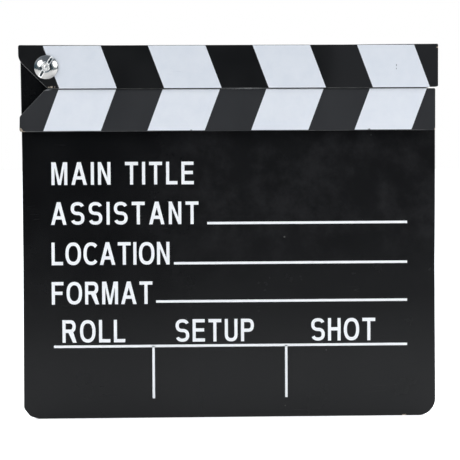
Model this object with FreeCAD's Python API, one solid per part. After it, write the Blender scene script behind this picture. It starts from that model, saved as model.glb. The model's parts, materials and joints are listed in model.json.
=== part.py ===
# Hand-held clapperboard: a painted slate with a fixed lower stick and a hinged upper stick.
# Millimetres. The origin is the middle of the slate's bottom edge, +X is to the right seen
# from the front, +Y runs from the front to the back and +Z is up.

import FreeCAD, Part
import math
import os

# Slate: one flat board with an ear at its top left corner that carries the pivot
SLATE_WIDTH = 200.0
SLATE_HEIGHT = 159.6
SLATE_THICKNESS = 3.0
SLATE_CORNER_RADIUS = 8.0
SLATE_TOP_RADIUS = 0.6
SLATE_EDGE_ROUND = 0.4
EAR_TOP_DROP = 0.8
EAR_CORNER_RADIUS = 7.0
EAR_ROOT_RADIUS = 3.0

# Sticks: the lower one is glued to the slate, the upper one turns on the pivot
STICK_THICKNESS = 6.0
STICK_EDGE_ROUND = 0.15
STICK_END_RADIUS = 0.6
STICK_BACK_RADIUS = 1.2
STICK_HEEL_RADIUS = 2.0
STICK_NOSE_RADIUS = 2.5
UPPER_LENGTH = 201.25
UPPER_HEIGHT = 20.7
UPPER_OVERHANG = 0.7
UPPER_CHAMFER = 14.7
LOWER_LENGTH = 199.75
LOWER_HEIGHT = 20.2
LOWER_OVERHANG = 0.4
LOWER_CHAMFER = 12.9
CLAP_GAP = 0.15

# Printed white stripes on both sticks and printed white lines on the slate
PRINT_THICKNESS = 0.1
PRINT_MARGIN = 0.05
STRIPE_COUNT = 4
STRIPE_PITCH_SHARE = 0.2494
STRIPE_WIDTH = 27.5
STRIPE_LEAN_DEG = 20.6
UPPER_STRIPE_START = 15.55
LOWER_STRIPE_START = 14.95
LINE_WIDTH = 1.4
LINE_RIGHT_MARGIN = 13.5
ROW_LINES = ((89.2, 94.8), (72.9, 75.4), (64.1, 56.85))
TABLE_LEFT_MARGIN = 14.4
TABLE_LINE_HEIGHT = 35.15
TABLE_COLUMNS = (62.7, 127.35)
TABLE_COLUMN_FOOT = 9.55

# Pivot: a machine screw with a low domed head, three washers and a hexagon nut
PIVOT_INSET = 13.3
PIVOT_CLEARANCE = 0.08
PIVOT_END_PLAY = 0.1
SCREW_DIAMETER = 5.0
SCREW_LENGTH = 20.0
SCREW_TIP_CHAMFER = 0.6
HEAD_DIAMETER = 11.6
HEAD_HEIGHT = 2.9
HEAD_RIM = 0.4
HEAD_EDGE_ROUND = 0.2
SLOT_WIDTH = 1.4
SLOT_DEPTH = 2.0
SLOT_TURN_DEG = 57.0
CROSS_SPAN = 5.0
CROSS_WING = 1.5
CROSS_DEPTH = 2.5
CROSS_TAPER = 0.45
WASHER_DIAMETER = 10.0
WASHER_THICKNESS = 1.0
WASHER_CLEARANCE = 0.15
WASHER_CHAMFER = 0.15
SPRING_DIAMETER = 8.8
SPRING_THICKNESS = 1.3
SPRING_SLIT = 0.8
SPRING_SLIT_LEAN_DEG = 30.0
NUT_FLATS = 8.0
NUT_THICKNESS = 4.0
NUT_CHAMFER_DEG = 30.0
NUT_MOUTH = 0.4
NUT_TURN_DEG = 12.0
THREAD_CLEARANCE = 0.05

# Places that follow from the sizes above
SLATE_LEFT = -SLATE_WIDTH / 2
SLATE_RIGHT = SLATE_WIDTH / 2
SLATE_FRONT = -SLATE_THICKNESS / 2
SLATE_BACK = SLATE_THICKNESS / 2
LOWER_LEFT = SLATE_LEFT - LOWER_OVERHANG
LOWER_FRONT = SLATE_FRONT - STICK_THICKNESS
UPPER_LEFT = SLATE_LEFT - UPPER_OVERHANG
UPPER_FOOT = SLATE_HEIGHT + CLAP_GAP
UPPER_BACK = SLATE_FRONT - WASHER_THICKNESS - PIVOT_END_PLAY
UPPER_FRONT = UPPER_BACK - STICK_THICKNESS
PIVOT_X = UPPER_LEFT + PIVOT_INSET
PIVOT_Z = UPPER_FOOT + UPPER_HEIGHT / 2
HEAD_SEAT = UPPER_FRONT - PRINT_THICKNESS - PIVOT_END_PLAY
BACK_WASHER_SEAT = SLATE_BACK
SPRING_SEAT = BACK_WASHER_SEAT + WASHER_THICKNESS
NUT_SEAT = SPRING_SEAT + SPRING_THICKNESS
SCREW_RADIUS = SCREW_DIAMETER / 2
WASHER_BORE = SCREW_RADIUS + WASHER_CLEARANCE

# How far tools reach past the material that they cut, how much of a wall the rounding of an edge
# may take at most, and how flat an edge has to be to count as lying in a face
CUT_PAST = 1.0
ROUND_SHARE = 0.45
FLATNESS = 1e-6

BACKWARDS = FreeCAD.Vector(0, 1, 0)


def point(x, z, y=0.0):
    """A point given as seen from the front: across, up and, last, depth."""
    return FreeCAD.Vector(x, y, z)


def unit(vector):
    """The vector at length one."""
    return vector * (1.0 / vector.Length)


def rounded_wire(corners, y):
    """A closed outline at depth y through (x, z, radius) corners, each rounded by an arc."""
    places = [point(x, z, y) for x, z, _ in corners]
    arcs = []
    for i, (_, _, radius) in enumerate(corners):
        corner = places[i]
        to_last = unit(places[i - 1] - corner)
        to_next = unit(places[(i + 1) % len(places)] - corner)
        half = to_last.getAngle(to_next) / 2
        setback = radius / math.tan(half)
        inwards = unit(to_last + to_next)
        middle = corner + inwards * (radius / math.sin(half) - radius)
        arcs.append((corner + to_last * setback, middle, corner + to_next * setback))
    edges = []
    for i, (start, middle, end) in enumerate(arcs):
        edges.append(Part.LineSegment(arcs[i - 1][2], start).toShape())
        edges.append(Part.Arc(start, middle, end).toShape())
    return Part.Wire(edges)


def sharp_wire(corners, y):
    """A closed outline at depth y through (x, z) corners."""
    places = [point(x, z, y) for x, z in corners]
    return Part.makePolygon(places + places[:1])


def prism(wire, thickness):
    """The solid between a flat outline and the same outline moved back by thickness."""
    return Part.Face(wire).extrude(BACKWARDS * thickness)


def bar(x0, x1, z0, z1, y, thickness):
    """A straight-sided block from depth y backwards."""
    return prism(sharp_wire([(x0, z0), (x1, z0), (x1, z1), (x0, z1)], y), thickness)


def soften(solid, depths, radius):
    """Rounds every edge that lies flat at one of the given depths."""

    def lies_at(edge, y):
        return abs(edge.BoundBox.YMin - y) < FLATNESS and abs(edge.BoundBox.YMax - y) < FLATNESS

    flat = [edge for edge in solid.Edges if any(lies_at(edge, y) for y in depths)]
    return solid.makeFillet(radius, flat)


def soften_plate(solid, front, thickness, radius):
    """Rounds the edges of a plate's front and back faces, as far as its thickness allows."""
    return soften(solid, (front, front + thickness), min(radius, ROUND_SHARE * thickness))


def on_pivot(shape, y=0.0):
    """Moves a piece made around the Y axis to the pivot, with its own zero at depth y."""
    shape.translate(FreeCAD.Vector(PIVOT_X, y, PIVOT_Z))
    return shape


def rod(radius, y0, y1):
    """A cylinder around the Y axis."""
    return Part.makeCylinder(radius, y1 - y0, point(0, 0, y0), BACKWARDS)


def lathe(section):
    """Turns a closed section of (radius, depth) corners round the Y axis."""
    corners = [FreeCAD.Vector(radius, y, 0) for radius, y in section]
    return Part.Face(Part.makePolygon(corners + corners[:1])).revolve(point(0, 0), BACKWARDS, 360)


def pivot_drill(radius, front, back):
    """The cutter for a pivot hole through everything between two depths."""
    return on_pivot(rod(radius, front - CUT_PAST, back + CUT_PAST))


def slate_board():
    """The flat board: round bottom corners, and an ear that is symmetric about the pivot."""
    ear_right = 2 * PIVOT_X - SLATE_LEFT
    ear_top = UPPER_FOOT + UPPER_HEIGHT - EAR_TOP_DROP
    ear_radius = min(EAR_CORNER_RADIUS, ROUND_SHARE * (ear_right - SLATE_LEFT))
    outline = [
        (SLATE_LEFT, 0, SLATE_CORNER_RADIUS),
        (SLATE_RIGHT, 0, SLATE_CORNER_RADIUS),
        (SLATE_RIGHT, SLATE_HEIGHT, SLATE_TOP_RADIUS),
        (ear_right, SLATE_HEIGHT, EAR_ROOT_RADIUS),
        (ear_right, ear_top, ear_radius),
        (SLATE_LEFT, ear_top, ear_radius),
    ]
    board = prism(rounded_wire(outline, SLATE_FRONT), SLATE_THICKNESS)
    board = soften_plate(board, SLATE_FRONT, SLATE_THICKNESS, SLATE_EDGE_ROUND)
    return board.cut(pivot_drill(WASHER_BORE, SLATE_FRONT, SLATE_BACK))


def stick_outline(left, clap_edge, side, length, height, chamfer, inset=0.0):
    """A stick's corners from the clap edge outwards: side is 1 for a stick above that edge, -1 below.

    The end over the pivot is cut off at 45 degrees, so that the sticks open like jaws. An inset
    outline is the same shape with every side moved inwards.
    """
    cut = chamfer + inset * (math.sqrt(2) - 1)
    corners = [
        (cut, inset, STICK_NOSE_RADIUS),
        (length - inset, inset, STICK_END_RADIUS),
        (length - inset, height - inset, STICK_END_RADIUS),
        (inset, height - inset, STICK_BACK_RADIUS),
        (inset, cut, STICK_HEEL_RADIUS),
    ]
    return [(left + x, clap_edge + side * z, radius) for x, z, radius in corners]


def stick(outline, front):
    """A stick's solid with softened edges, from its outline and the depth of its front face."""
    body = prism(rounded_wire(outline, front), STICK_THICKNESS)
    return soften_plate(body, front, STICK_THICKNESS, STICK_EDGE_ROUND)


def lower_stick():
    """The fixed stick, flush with the slate's top edge and glued to its face."""
    outline = stick_outline(LOWER_LEFT, SLATE_HEIGHT, -1, LOWER_LENGTH, LOWER_HEIGHT, LOWER_CHAMFER)
    return stick(outline, LOWER_FRONT)


def upper_stick():
    """The clapper: the same section, the other way up, bored for the pivot screw."""
    outline = stick_outline(UPPER_LEFT, UPPER_FOOT, 1, UPPER_LENGTH, UPPER_HEIGHT, UPPER_CHAMFER)
    drill = pivot_drill(SCREW_RADIUS + PIVOT_CLEARANCE, UPPER_FRONT, UPPER_BACK)
    return stick(outline, UPPER_FRONT).cut(drill)


def stripes(left, clap_edge, side, length, height, chamfer, front, first):
    """The leaning white stripes on one stick's face, trimmed to the flat of that face.

    The first stripe starts a given way in from the stick's left end, at half its height. The
    stripes of both sticks meet at the clap edge, where they are furthest to the right.
    """
    inset = STICK_EDGE_ROUND + PRINT_MARGIN
    y = front - PRINT_THICKNESS
    outline = stick_outline(left, clap_edge, side, length, height, chamfer, inset)
    field = prism(rounded_wire(outline, y), PRINT_THICKNESS)
    lean = height / 2 * math.tan(math.radians(STRIPE_LEAN_DEG))
    pitch = length * STRIPE_PITCH_SHARE
    back_edge = clap_edge + side * height
    panels = []
    for i in range(STRIPE_COUNT):
        start = left + first + i * pitch
        end = start + STRIPE_WIDTH
        corners = [
            (start + lean, clap_edge),
            (end + lean, clap_edge),
            (end - lean, back_edge),
            (start - lean, back_edge),
        ]
        panels.append(prism(sharp_wire(corners, y), PRINT_THICKNESS).common(field))
    return Part.makeCompound([solid for panel in panels for solid in panel.Solids])


def lower_stripes():
    """The stripes on the fixed stick."""
    return stripes(
        LOWER_LEFT, SLATE_HEIGHT, -1, LOWER_LENGTH, LOWER_HEIGHT, LOWER_CHAMFER,
        LOWER_FRONT, LOWER_STRIPE_START,
    )


def upper_stripes():
    """The stripes on the clapper, open around the pivot hole."""
    white = stripes(
        UPPER_LEFT, UPPER_FOOT, 1, UPPER_LENGTH, UPPER_HEIGHT, UPPER_CHAMFER,
        UPPER_FRONT, UPPER_STRIPE_START,
    )
    drill = pivot_drill(SCREW_RADIUS + PIVOT_CLEARANCE, UPPER_FRONT, UPPER_BACK)
    return Part.makeCompound(white.cut(drill).Solids)


def slate_lines():
    """The white writing lines: three rows, and a table line with its column lines hanging from it."""
    y = SLATE_FRONT - PRINT_THICKNESS
    half = LINE_WIDTH / 2
    right = SLATE_RIGHT - LINE_RIGHT_MARGIN

    def level(left_margin, z):
        return bar(SLATE_LEFT + left_margin, right, z - half, z + half, y, PRINT_THICKNESS)

    rows = [level(left_margin, z) for left_margin, z in ROW_LINES]
    table = level(TABLE_LEFT_MARGIN, TABLE_LINE_HEIGHT)
    for column in TABLE_COLUMNS:
        x = SLATE_LEFT + column
        stem = bar(x - half, x + half, TABLE_COLUMN_FOOT, TABLE_LINE_HEIGHT, y, PRINT_THICKNESS)
        table = table.fuse(stem)
    return Part.makeCompound(rows + table.removeSplitter().Solids)


def turned(shape, degrees):
    """Turns a piece about the Y axis, anticlockwise as seen from the front."""
    shape.rotate(point(0, 0), BACKWARDS, -degrees)
    return shape


def tapered_wing(span, width, depth, taper):
    """One wing pair of a cross recess, deepest and narrowest at the far end."""
    x = span / 2
    z = width / 2
    top = sharp_wire([(-x, -z), (x, -z), (x, z), (-x, z)], 0)
    floor = top.copy()
    floor.scale(taper)
    floor.translate(BACKWARDS * depth)
    return Part.makeLoft([top, floor], True, True)


def drive_recess():
    """The screwdriver recess: a slot right across the head and a cross recess in its middle."""
    reach = HEAD_DIAMETER / 2 + CUT_PAST
    crown = -HEAD_HEIGHT
    slot = bar(-reach, reach, -SLOT_WIDTH / 2, SLOT_WIDTH / 2, crown - CUT_PAST, SLOT_DEPTH + CUT_PAST)
    along = tapered_wing(CROSS_SPAN, CROSS_WING, CROSS_DEPTH, CROSS_TAPER)
    across = turned(along.copy(), 90)
    cross = along.fuse(across)
    cross.translate(BACKWARDS * crown)
    return turned(slot.fuse(cross), SLOT_TURN_DEG)


def pivot_screw():
    """The pivot screw: low domed head, plain shank in place of the thread, chamfered tip."""
    head = HEAD_DIAMETER / 2
    shoulder = SCREW_LENGTH - SCREW_TIP_CHAMFER
    rise = HEAD_HEIGHT - HEAD_RIM
    dome = (head**2 + rise**2) / (2 * rise)
    half = math.asin(head / dome) / 2
    on_dome = FreeCAD.Vector(dome * math.sin(half), dome * (1 - math.cos(half)) - HEAD_HEIGHT, 0)
    crown = FreeCAD.Vector(0, -HEAD_HEIGHT, 0)
    rim = FreeCAD.Vector(head, -HEAD_RIM, 0)
    profile = [
        rim,
        FreeCAD.Vector(head, 0, 0),
        FreeCAD.Vector(SCREW_RADIUS, 0, 0),
        FreeCAD.Vector(SCREW_RADIUS, shoulder, 0),
        FreeCAD.Vector(SCREW_RADIUS - SCREW_TIP_CHAMFER, SCREW_LENGTH, 0),
        FreeCAD.Vector(0, SCREW_LENGTH, 0),
        crown,
    ]
    edges = [Part.Arc(crown, on_dome, rim).toShape()]
    edges += Part.makePolygon(profile).Edges
    blank = Part.Face(Part.Wire(edges)).revolve(point(0, 0), BACKWARDS, 360)
    blank = soften(blank, [-HEAD_RIM], min(HEAD_EDGE_ROUND, ROUND_SHARE * HEAD_RIM))
    return on_pivot(blank.cut(drive_recess()), HEAD_SEAT)


def flat_washer(seat):
    """A flat washer that starts at depth seat, with its outer edges broken."""
    outer = WASHER_DIAMETER / 2
    chamfer = min(WASHER_CHAMFER, ROUND_SHARE * WASHER_THICKNESS)
    section = [
        (WASHER_BORE, 0),
        (outer - chamfer, 0),
        (outer, chamfer),
        (outer, WASHER_THICKNESS - chamfer),
        (outer - chamfer, WASHER_THICKNESS),
        (WASHER_BORE, WASHER_THICKNESS),
    ]
    return on_pivot(lathe(section), seat)


def spacer_washer():
    """The washer that keeps the clapper clear of the slate's face."""
    return flat_washer(SLATE_FRONT - WASHER_THICKNESS)


def back_washer():
    """The flat washer on the back of the ear."""
    return flat_washer(BACK_WASHER_SEAT)


def spring_washer():
    """The split spring washer, pressed flat, with its slit leaning to one side."""
    front = -CUT_PAST
    back = SPRING_THICKNESS + CUT_PAST
    coil = rod(SPRING_DIAMETER / 2, 0, SPRING_THICKNESS).cut(rod(WASHER_BORE, front, back))
    lean = math.tan(math.radians(SPRING_SLIT_LEAN_DEG)) * (back - front) / 2
    half = SPRING_SLIT / 2
    corners = [
        FreeCAD.Vector(-half - lean, front, 0),
        FreeCAD.Vector(half - lean, front, 0),
        FreeCAD.Vector(half + lean, back, 0),
        FreeCAD.Vector(-half + lean, back, 0),
    ]
    slit = Part.Face(Part.makePolygon(corners + corners[:1])).extrude(FreeCAD.Vector(0, 0, SPRING_DIAMETER))
    return on_pivot(coil.cut(slit), SPRING_SEAT)


def hex_nut():
    """The hexagon nut, chamfered on both faces, with a countersunk mouth at each end of its bore."""
    flats = NUT_FLATS / 2
    points = flats / math.cos(math.radians(30))
    angles = [math.radians(60 * i + NUT_TURN_DEG) for i in range(6)]
    corners = [(points * math.cos(angle), points * math.sin(angle)) for angle in angles]
    drop = (points - flats) * math.tan(math.radians(NUT_CHAMFER_DEG))
    bore = SCREW_RADIUS + THREAD_CLEARANCE
    mouth = bore + NUT_MOUTH
    section = [
        (mouth, 0),
        (flats, 0),
        (points, drop),
        (points, NUT_THICKNESS - drop),
        (flats, NUT_THICKNESS),
        (mouth, NUT_THICKNESS),
        (bore, NUT_THICKNESS - NUT_MOUTH),
        (bore, NUT_MOUTH),
    ]
    nut = prism(sharp_wire(corners, 0), NUT_THICKNESS).common(lathe(section))
    return on_pivot(nut, NUT_SEAT)


PIECES = {
    "slate_board": slate_board,
    "lower_stick": lower_stick,
    "upper_stick": upper_stick,
    "lower_stripes": lower_stripes,
    "upper_stripes": upper_stripes,
    "slate_lines": slate_lines,
    "pivot_screw": pivot_screw,
    "spacer_washer": spacer_washer,
    "back_washer": back_washer,
    "spring_washer": spring_washer,
    "hex_nut": hex_nut,
}


def main():
    """Builds every piece, reports its solids and volume, and writes it to the parts folder."""
    os.makedirs("parts", exist_ok=True)
    for name, build in PIECES.items():
        shape = build()
        print(f"{name}: {len(shape.Solids)} solids, {shape.Volume:.1f} mm3, valid {shape.isValid()}")
        shape.exportStep(f"parts/{name}.step")


if __name__ == "__main__":
    main()
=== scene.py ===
"""Looks of a hand-held clapperboard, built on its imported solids.

The slate and both sticks are painted fibreboard with rolled edges and a few chips. The stripes, the
writing lines and the labels are white screen print, and the pivot is a zinc-plated screw with its
washers and nut. Lengths are in metres where nothing else is said. +X is to the right seen from the
front, +Y runs from the front to the back and +Z is up.
"""

import json
import logging
import math
from dataclasses import dataclass
from enum import Enum
from functools import partial, reduce
from typing import Sequence

import bmesh
import bpy
import numpy as np
from bpy.types import ID, Material, Mesh, Node, NodeSocket, NodeTree, Object, bpy_prop_collection
from mathutils import Matrix, Vector, noise


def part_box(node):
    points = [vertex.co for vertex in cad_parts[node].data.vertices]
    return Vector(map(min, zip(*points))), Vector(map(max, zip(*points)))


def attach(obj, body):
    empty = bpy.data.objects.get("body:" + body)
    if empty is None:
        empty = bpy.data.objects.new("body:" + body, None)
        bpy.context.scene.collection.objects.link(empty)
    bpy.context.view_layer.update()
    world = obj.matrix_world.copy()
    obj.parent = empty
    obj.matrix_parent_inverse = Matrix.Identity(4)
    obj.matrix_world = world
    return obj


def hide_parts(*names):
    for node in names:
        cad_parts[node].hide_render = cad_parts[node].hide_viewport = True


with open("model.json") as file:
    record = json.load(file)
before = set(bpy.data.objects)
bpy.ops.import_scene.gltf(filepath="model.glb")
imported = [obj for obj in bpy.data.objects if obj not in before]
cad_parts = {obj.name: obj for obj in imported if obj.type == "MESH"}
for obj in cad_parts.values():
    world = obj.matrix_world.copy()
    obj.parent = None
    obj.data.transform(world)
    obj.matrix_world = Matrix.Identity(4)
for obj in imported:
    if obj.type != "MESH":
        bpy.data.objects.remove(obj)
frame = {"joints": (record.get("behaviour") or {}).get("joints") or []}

log = logging.getLogger("clapperboard")

MM = 0.001

# How far the screw's slot is turned from the right, anticlockwise.
SLOT_TURN = math.radians(57.0)

# Edges sharper than these stay sharp on turned metal and on bent wire.
METAL_EDGE = math.radians(38.0)
WIRE_EDGE = math.radians(50.0)

# The depth of each stick's face from the pivot's middle, in millimetres. Below 0 is in front of it.
UPPER_FACE = -8.6
LOWER_FACE = -7.5

Colour = tuple[float, float, float]
Triple = tuple[float, float, float]
Point = tuple[float, float]
Span = tuple[float, float]
Value = float | int | Sequence[float] | ID | NodeSocket
Inputs = dict[str | int, Value]


def mm(*lengths: float) -> Vector:
    """Turns a place or a size in millimetres into metres."""
    return Vector(lengths) * MM


def titled(inputs: dict[str, Value]) -> Inputs:
    """Puts a space for each underscore in the inputs' names."""
    return {name.replace("_", " "): value for name, value in inputs.items()}


class Body(Enum):
    """The bodies that pieces ride on."""

    SLATE = "slate"
    CLAPPER = "clapper"


class Slot(Enum):
    """The record's material slots."""

    SLATE_PAINT = "slate_paint"
    LOWER_PAINT = "lower_stick_paint"
    UPPER_PAINT = "upper_stick_paint"
    STRIPE_PRINT = "stripe_print"
    SLATE_PRINT = "slate_print"
    ZINC = "zinc_steel"


class Side(Enum):
    """Where a stick lies, seen from the edge on which the two sticks clap."""

    ABOVE = 1
    BELOW = -1


class Tree(Enum):
    """The kinds of node tree that the script makes."""

    SHADER = "ShaderNodeTree"
    GEOMETRY = "GeometryNodeTree"


class Plug(Enum):
    """The kinds of socket on a node group."""

    NUMBER = "NodeSocketFloat"
    COUNT = "NodeSocketInt"
    VECTOR = "NodeSocketVector"
    MATERIAL = "NodeSocketMaterial"
    GEOMETRY = "NodeSocketGeometry"

    def named(self, *titles: str) -> dict[str, "Plug"]:
        """Gives a socket of this kind to each name."""
        return dict.fromkeys(titles, self)


class Graph:
    """Adds nodes to one tree in short calls."""

    def __init__(self, tree: NodeTree) -> None:
        """Starts on a tree, empty or not."""
        self.tree = tree

    def feed(self, node: Node, inputs: Inputs) -> None:
        """Sets or links inputs of a node.

        Args:
            node: the node.
            inputs: the value or the socket for each input, by name or number. A colour has no alpha.
        """
        for key, value in inputs.items():
            socket = node.inputs[key]
            if isinstance(value, NodeSocket):
                self.tree.links.new(value, socket)
            elif socket.type == "RGBA":
                socket.default_value = (*value, 1.0)
            else:
                socket.default_value = value

    def node(self, kind: str, inputs: Inputs | None = None, **settings: object) -> Node:
        """Adds one node.

        Args:
            kind: the node's type.
            inputs: what its inputs are set to or linked from.
            settings: the node's own properties.

        Returns:
            The new node.
        """
        made = self.tree.nodes.new(kind)
        for name, value in settings.items():
            setattr(made, name, value)
        self.feed(made, inputs or {})
        return made

    def math(self, operation: str, *terms: Value) -> NodeSocket:
        """Does arithmetic on one to three numbers."""
        return self.node("ShaderNodeMath", dict(enumerate(terms)), operation=operation).outputs[0]

    def fold(self, operation: str, *terms: Value) -> NodeSocket:
        """Does arithmetic on any count of numbers, two at a time."""
        return reduce(partial(self.math, operation), terms)

    def vector(self, operation: str, *terms: Value) -> NodeSocket:
        """Does arithmetic on vectors that gives a vector."""
        return self.node("ShaderNodeVectorMath", dict(enumerate(terms)), operation=operation).outputs[0]

    def measure(self, operation: str, *terms: Value) -> NodeSocket:
        """Does arithmetic on vectors that gives a number."""
        return self.node("ShaderNodeVectorMath", dict(enumerate(terms)), operation=operation).outputs[1]

    def axes(self, vector: NodeSocket) -> bpy_prop_collection:
        """Splits a vector into its X, Y and Z."""
        return self.node("ShaderNodeSeparateXYZ", {0: vector}).outputs

    def mix(self, share: Value, first: Value, second: Value) -> NodeSocket:
        """Mixes two colours, by how much of the second one shows."""
        # The node has sockets of one name for each kind of value, so its colours go by number.
        return self.node("ShaderNodeMix", {0: share, 6: first, 7: second}, data_type="RGBA").outputs[2]

    def remap(self, value: Value, span: Span, onto: Span = (0.0, 1.0)) -> NodeSocket:
        """Maps a span of numbers smoothly onto another one, and holds the result at its ends."""
        inputs = dict(enumerate((value, *span, *onto)))
        return self.node("ShaderNodeMapRange", inputs, interpolation_type="SMOOTHSTEP").outputs[0]

    def within(self, value: Value, reach: float, core: float, full: float = 1.0) -> NodeSocket:
        """Holds a full value over a core share of a reach, and fades it out at the reach."""
        return self.remap(value, (reach, core * reach), (0.0, full))

    def noise(self, place: NodeSocket, scale: Value, detail: float, roughness: float) -> NodeSocket:
        """Adds a noise from 0 to 1, with a scale in waves per metre."""
        inputs = {"Vector": place, "Scale": scale, "Detail": detail, "Roughness": roughness}
        return self.node("ShaderNodeTexNoise", inputs).outputs[0]

    def place(self) -> NodeSocket:
        """Gives the place on the piece."""
        return self.node("ShaderNodeTexCoord").outputs["Object"]

    def facing(self) -> NodeSocket:
        """Tells how squarely the surface faces the front or the back, from 0 to 1."""
        return self.math("ABSOLUTE", self.axes(self.node("ShaderNodeTexCoord").outputs["Normal"])["Y"])


class NodeGroup(Graph):
    """A node tree with named inputs and outputs."""

    def __init__(self, name: str, kind: Tree, inputs: dict[str, Plug], outputs: dict[str, Plug]) -> None:
        """Makes the tree with its sockets.

        Args:
            name: the tree's name.
            kind: whether it makes surfaces or shapes.
            inputs: the kind of each named input.
            outputs: the kind of each named output.
        """
        super().__init__(bpy.data.node_groups.new(name, kind.value))
        for way, plugs in (("INPUT", inputs), ("OUTPUT", outputs)):
            for title, plug in plugs.items():
                self.tree.interface.new_socket(title, in_out=way, socket_type=plug.value)
        self.given = self.node("NodeGroupInput").outputs

    def close(self, **results: NodeSocket) -> NodeTree:
        """Links the outputs, and gives the finished tree."""
        self.node("NodeGroupOutput", results)
        return self.tree


class ShapeTree(NodeGroup):
    """A geometry tree that makes one mesh in one material."""

    def __init__(self, name: str, sizes: dict[str, Plug]) -> None:
        """Makes the tree with an input for each size."""
        inputs = sizes | Plug.MATERIAL.named("Material")
        super().__init__(name, Tree.GEOMETRY, inputs, Plug.GEOMETRY.named("Mesh"))

    def shape(self, kind: str, **inputs: Value) -> NodeSocket:
        """Adds a geometry node, with an underscore for each space in an input's name."""
        return self.node(f"GeometryNode{kind}", titled(inputs)).outputs[0]

    def close_on(self, shape: NodeSocket) -> NodeTree:
        """Makes instances real, gives the shape its material, and gives the finished tree."""
        whole = self.shape("RealizeInstances", Geometry=shape)
        return self.close(Mesh=self.shape("SetMaterial", Geometry=whole, Material=self.given["Material"]))


def edge_wear_and_highlight_group() -> NodeTree:
    """Finds rounded edges by their normals, which lean between a board's faces and its sides.

    Returns:
        A group whose first output is where an edge is lighter, by handling wear and a painted highlight,
        and whose Bare is where the paint is worn through.
    """
    inputs = Plug.NUMBER.named("Grain", "Reach", "Span") | Plug.VECTOR.named("Handled")
    group = NodeGroup("edge_wear", Tree.SHADER, inputs, Plug.NUMBER.named("Thin", "Bare"))
    given = group.given
    place = group.place()
    lean = group.facing()
    front = group.math("MULTIPLY", lean, lean)
    # The product is 1 halfway round the edge, where front is a half.
    rim = group.fold("MULTIPLY", front, group.math("SUBTRACT", 1.0, front), 4.0)
    grain = group.noise(place, scale=given["Grain"], detail=6.0, roughness=0.65)
    through = group.remap(group.math("ADD", grain, given["Reach"]), (0.98, 1.06))
    away = group.measure("DISTANCE", place, given["Handled"])
    held = group.within(group.math("DIVIDE", away, given["Span"]), 1.0, core=0.7)
    blotches = group.noise(place, scale=75.0, detail=4.0, roughness=0.7)
    patches = group.remap(blotches, (0.46, 0.62), (0.1, 0.75))
    # Edge lightening: handling wear on the rounded edges, with a painted highlight on them too.
    thin = group.math("MULTIPLY", rim, group.math("MAXIMUM", held, patches))
    return group.close(Thin=thin, Bare=group.math("MULTIPLY", rim, through))


def paint_skin_group() -> NodeTree:
    """Describes brushed-out paint: a slow change of tone, a fine peel, and fibres on the sawn sides.

    Returns:
        A group with Tone, Height and Sawn, which is 1 on the sides and 0 on the faces.
    """
    inputs = Plug.NUMBER.named("Mottle", "Peel", "Fibre")
    group = NodeGroup("paint_skin", Tree.SHADER, inputs, Plug.NUMBER.named("Tone", "Height", "Sawn"))
    place = group.place()
    sawn = group.remap(group.facing(), (0.75, 0.35))
    tone = group.noise(place, scale=group.given["Mottle"], detail=5.0, roughness=0.6)
    peel = group.noise(place, scale=group.given["Peel"], detail=2.0, roughness=0.5)
    fibre = group.noise(place, scale=group.given["Fibre"], detail=5.0, roughness=0.7)
    # Fibres stand up to three times as high as the peel.
    rough = group.fold("MULTIPLY", fibre, sawn, 3.0)
    return group.close(Tone=tone, Height=group.math("ADD", peel, rough), Sawn=sawn)


def dust_group() -> NodeTree:
    """Scatters small specks.

    Returns:
        A group whose Specks is 1 on a speck.
    """
    inputs = Plug.NUMBER.named("Scale", "Share")
    group = NodeGroup("dust", Tree.SHADER, inputs, Plug.NUMBER.named("Specks"))
    cells = group.node("ShaderNodeTexVoronoi", {"Vector": group.place(), "Scale": group.given["Scale"]})
    draws = group.node("ShaderNodeSeparateColor", {0: cells.outputs["Color"]}).outputs
    chosen = group.math("LESS_THAN", draws[0], group.given["Share"])
    smallest, spread = 0.025, 0.07
    size = group.math("MULTIPLY_ADD", draws[1], spread, smallest)
    speck = group.remap(group.math("SUBTRACT", size, cells.outputs["Distance"]), (0.0, 0.02))
    return group.close(Specks=group.math("MULTIPLY", chosen, speck))


def hairline_group() -> NodeTree:
    """Draws short fine rub marks that lie more or less in one direction.

    Returns:
        A group whose Lines is 1 on a mark.
    """
    inputs = Plug.VECTOR.named("Stretch", "Turn") | Plug.NUMBER.named("Share")
    group = NodeGroup("hairlines", Tree.SHADER, inputs, Plug.NUMBER.named("Lines"))
    given = group.given
    place = group.place()
    turned = {"Vector": place, "Rotation": given["Turn"], "Scale": given["Stretch"]}
    along = group.node("ShaderNodeMapping", turned).outputs[0]
    streak = group.noise(along, scale=1.0, detail=2.0, roughness=0.4)
    off_centre = group.math("ABSOLUTE", group.math("SUBTRACT", streak, 0.5))
    thin = group.within(off_centre, 0.012, core=0.0)
    patch = group.noise(place, scale=45.0, detail=2.0, roughness=0.5)
    shown = group.remap(group.math("ADD", patch, given["Share"]), (0.95, 1.1))
    return group.close(Lines=group.math("MULTIPLY", thin, shown))


@dataclass(frozen=True)
class Effects:
    """The shader groups that several finishes share."""

    edge_wear: NodeTree
    paint_skin: NodeTree
    dust: NodeTree
    hairlines: NodeTree

    @classmethod
    def make(cls) -> "Effects":
        """Builds each group once."""
        return cls(edge_wear_and_highlight_group(), paint_skin_group(), dust_group(), hairline_group())


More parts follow.
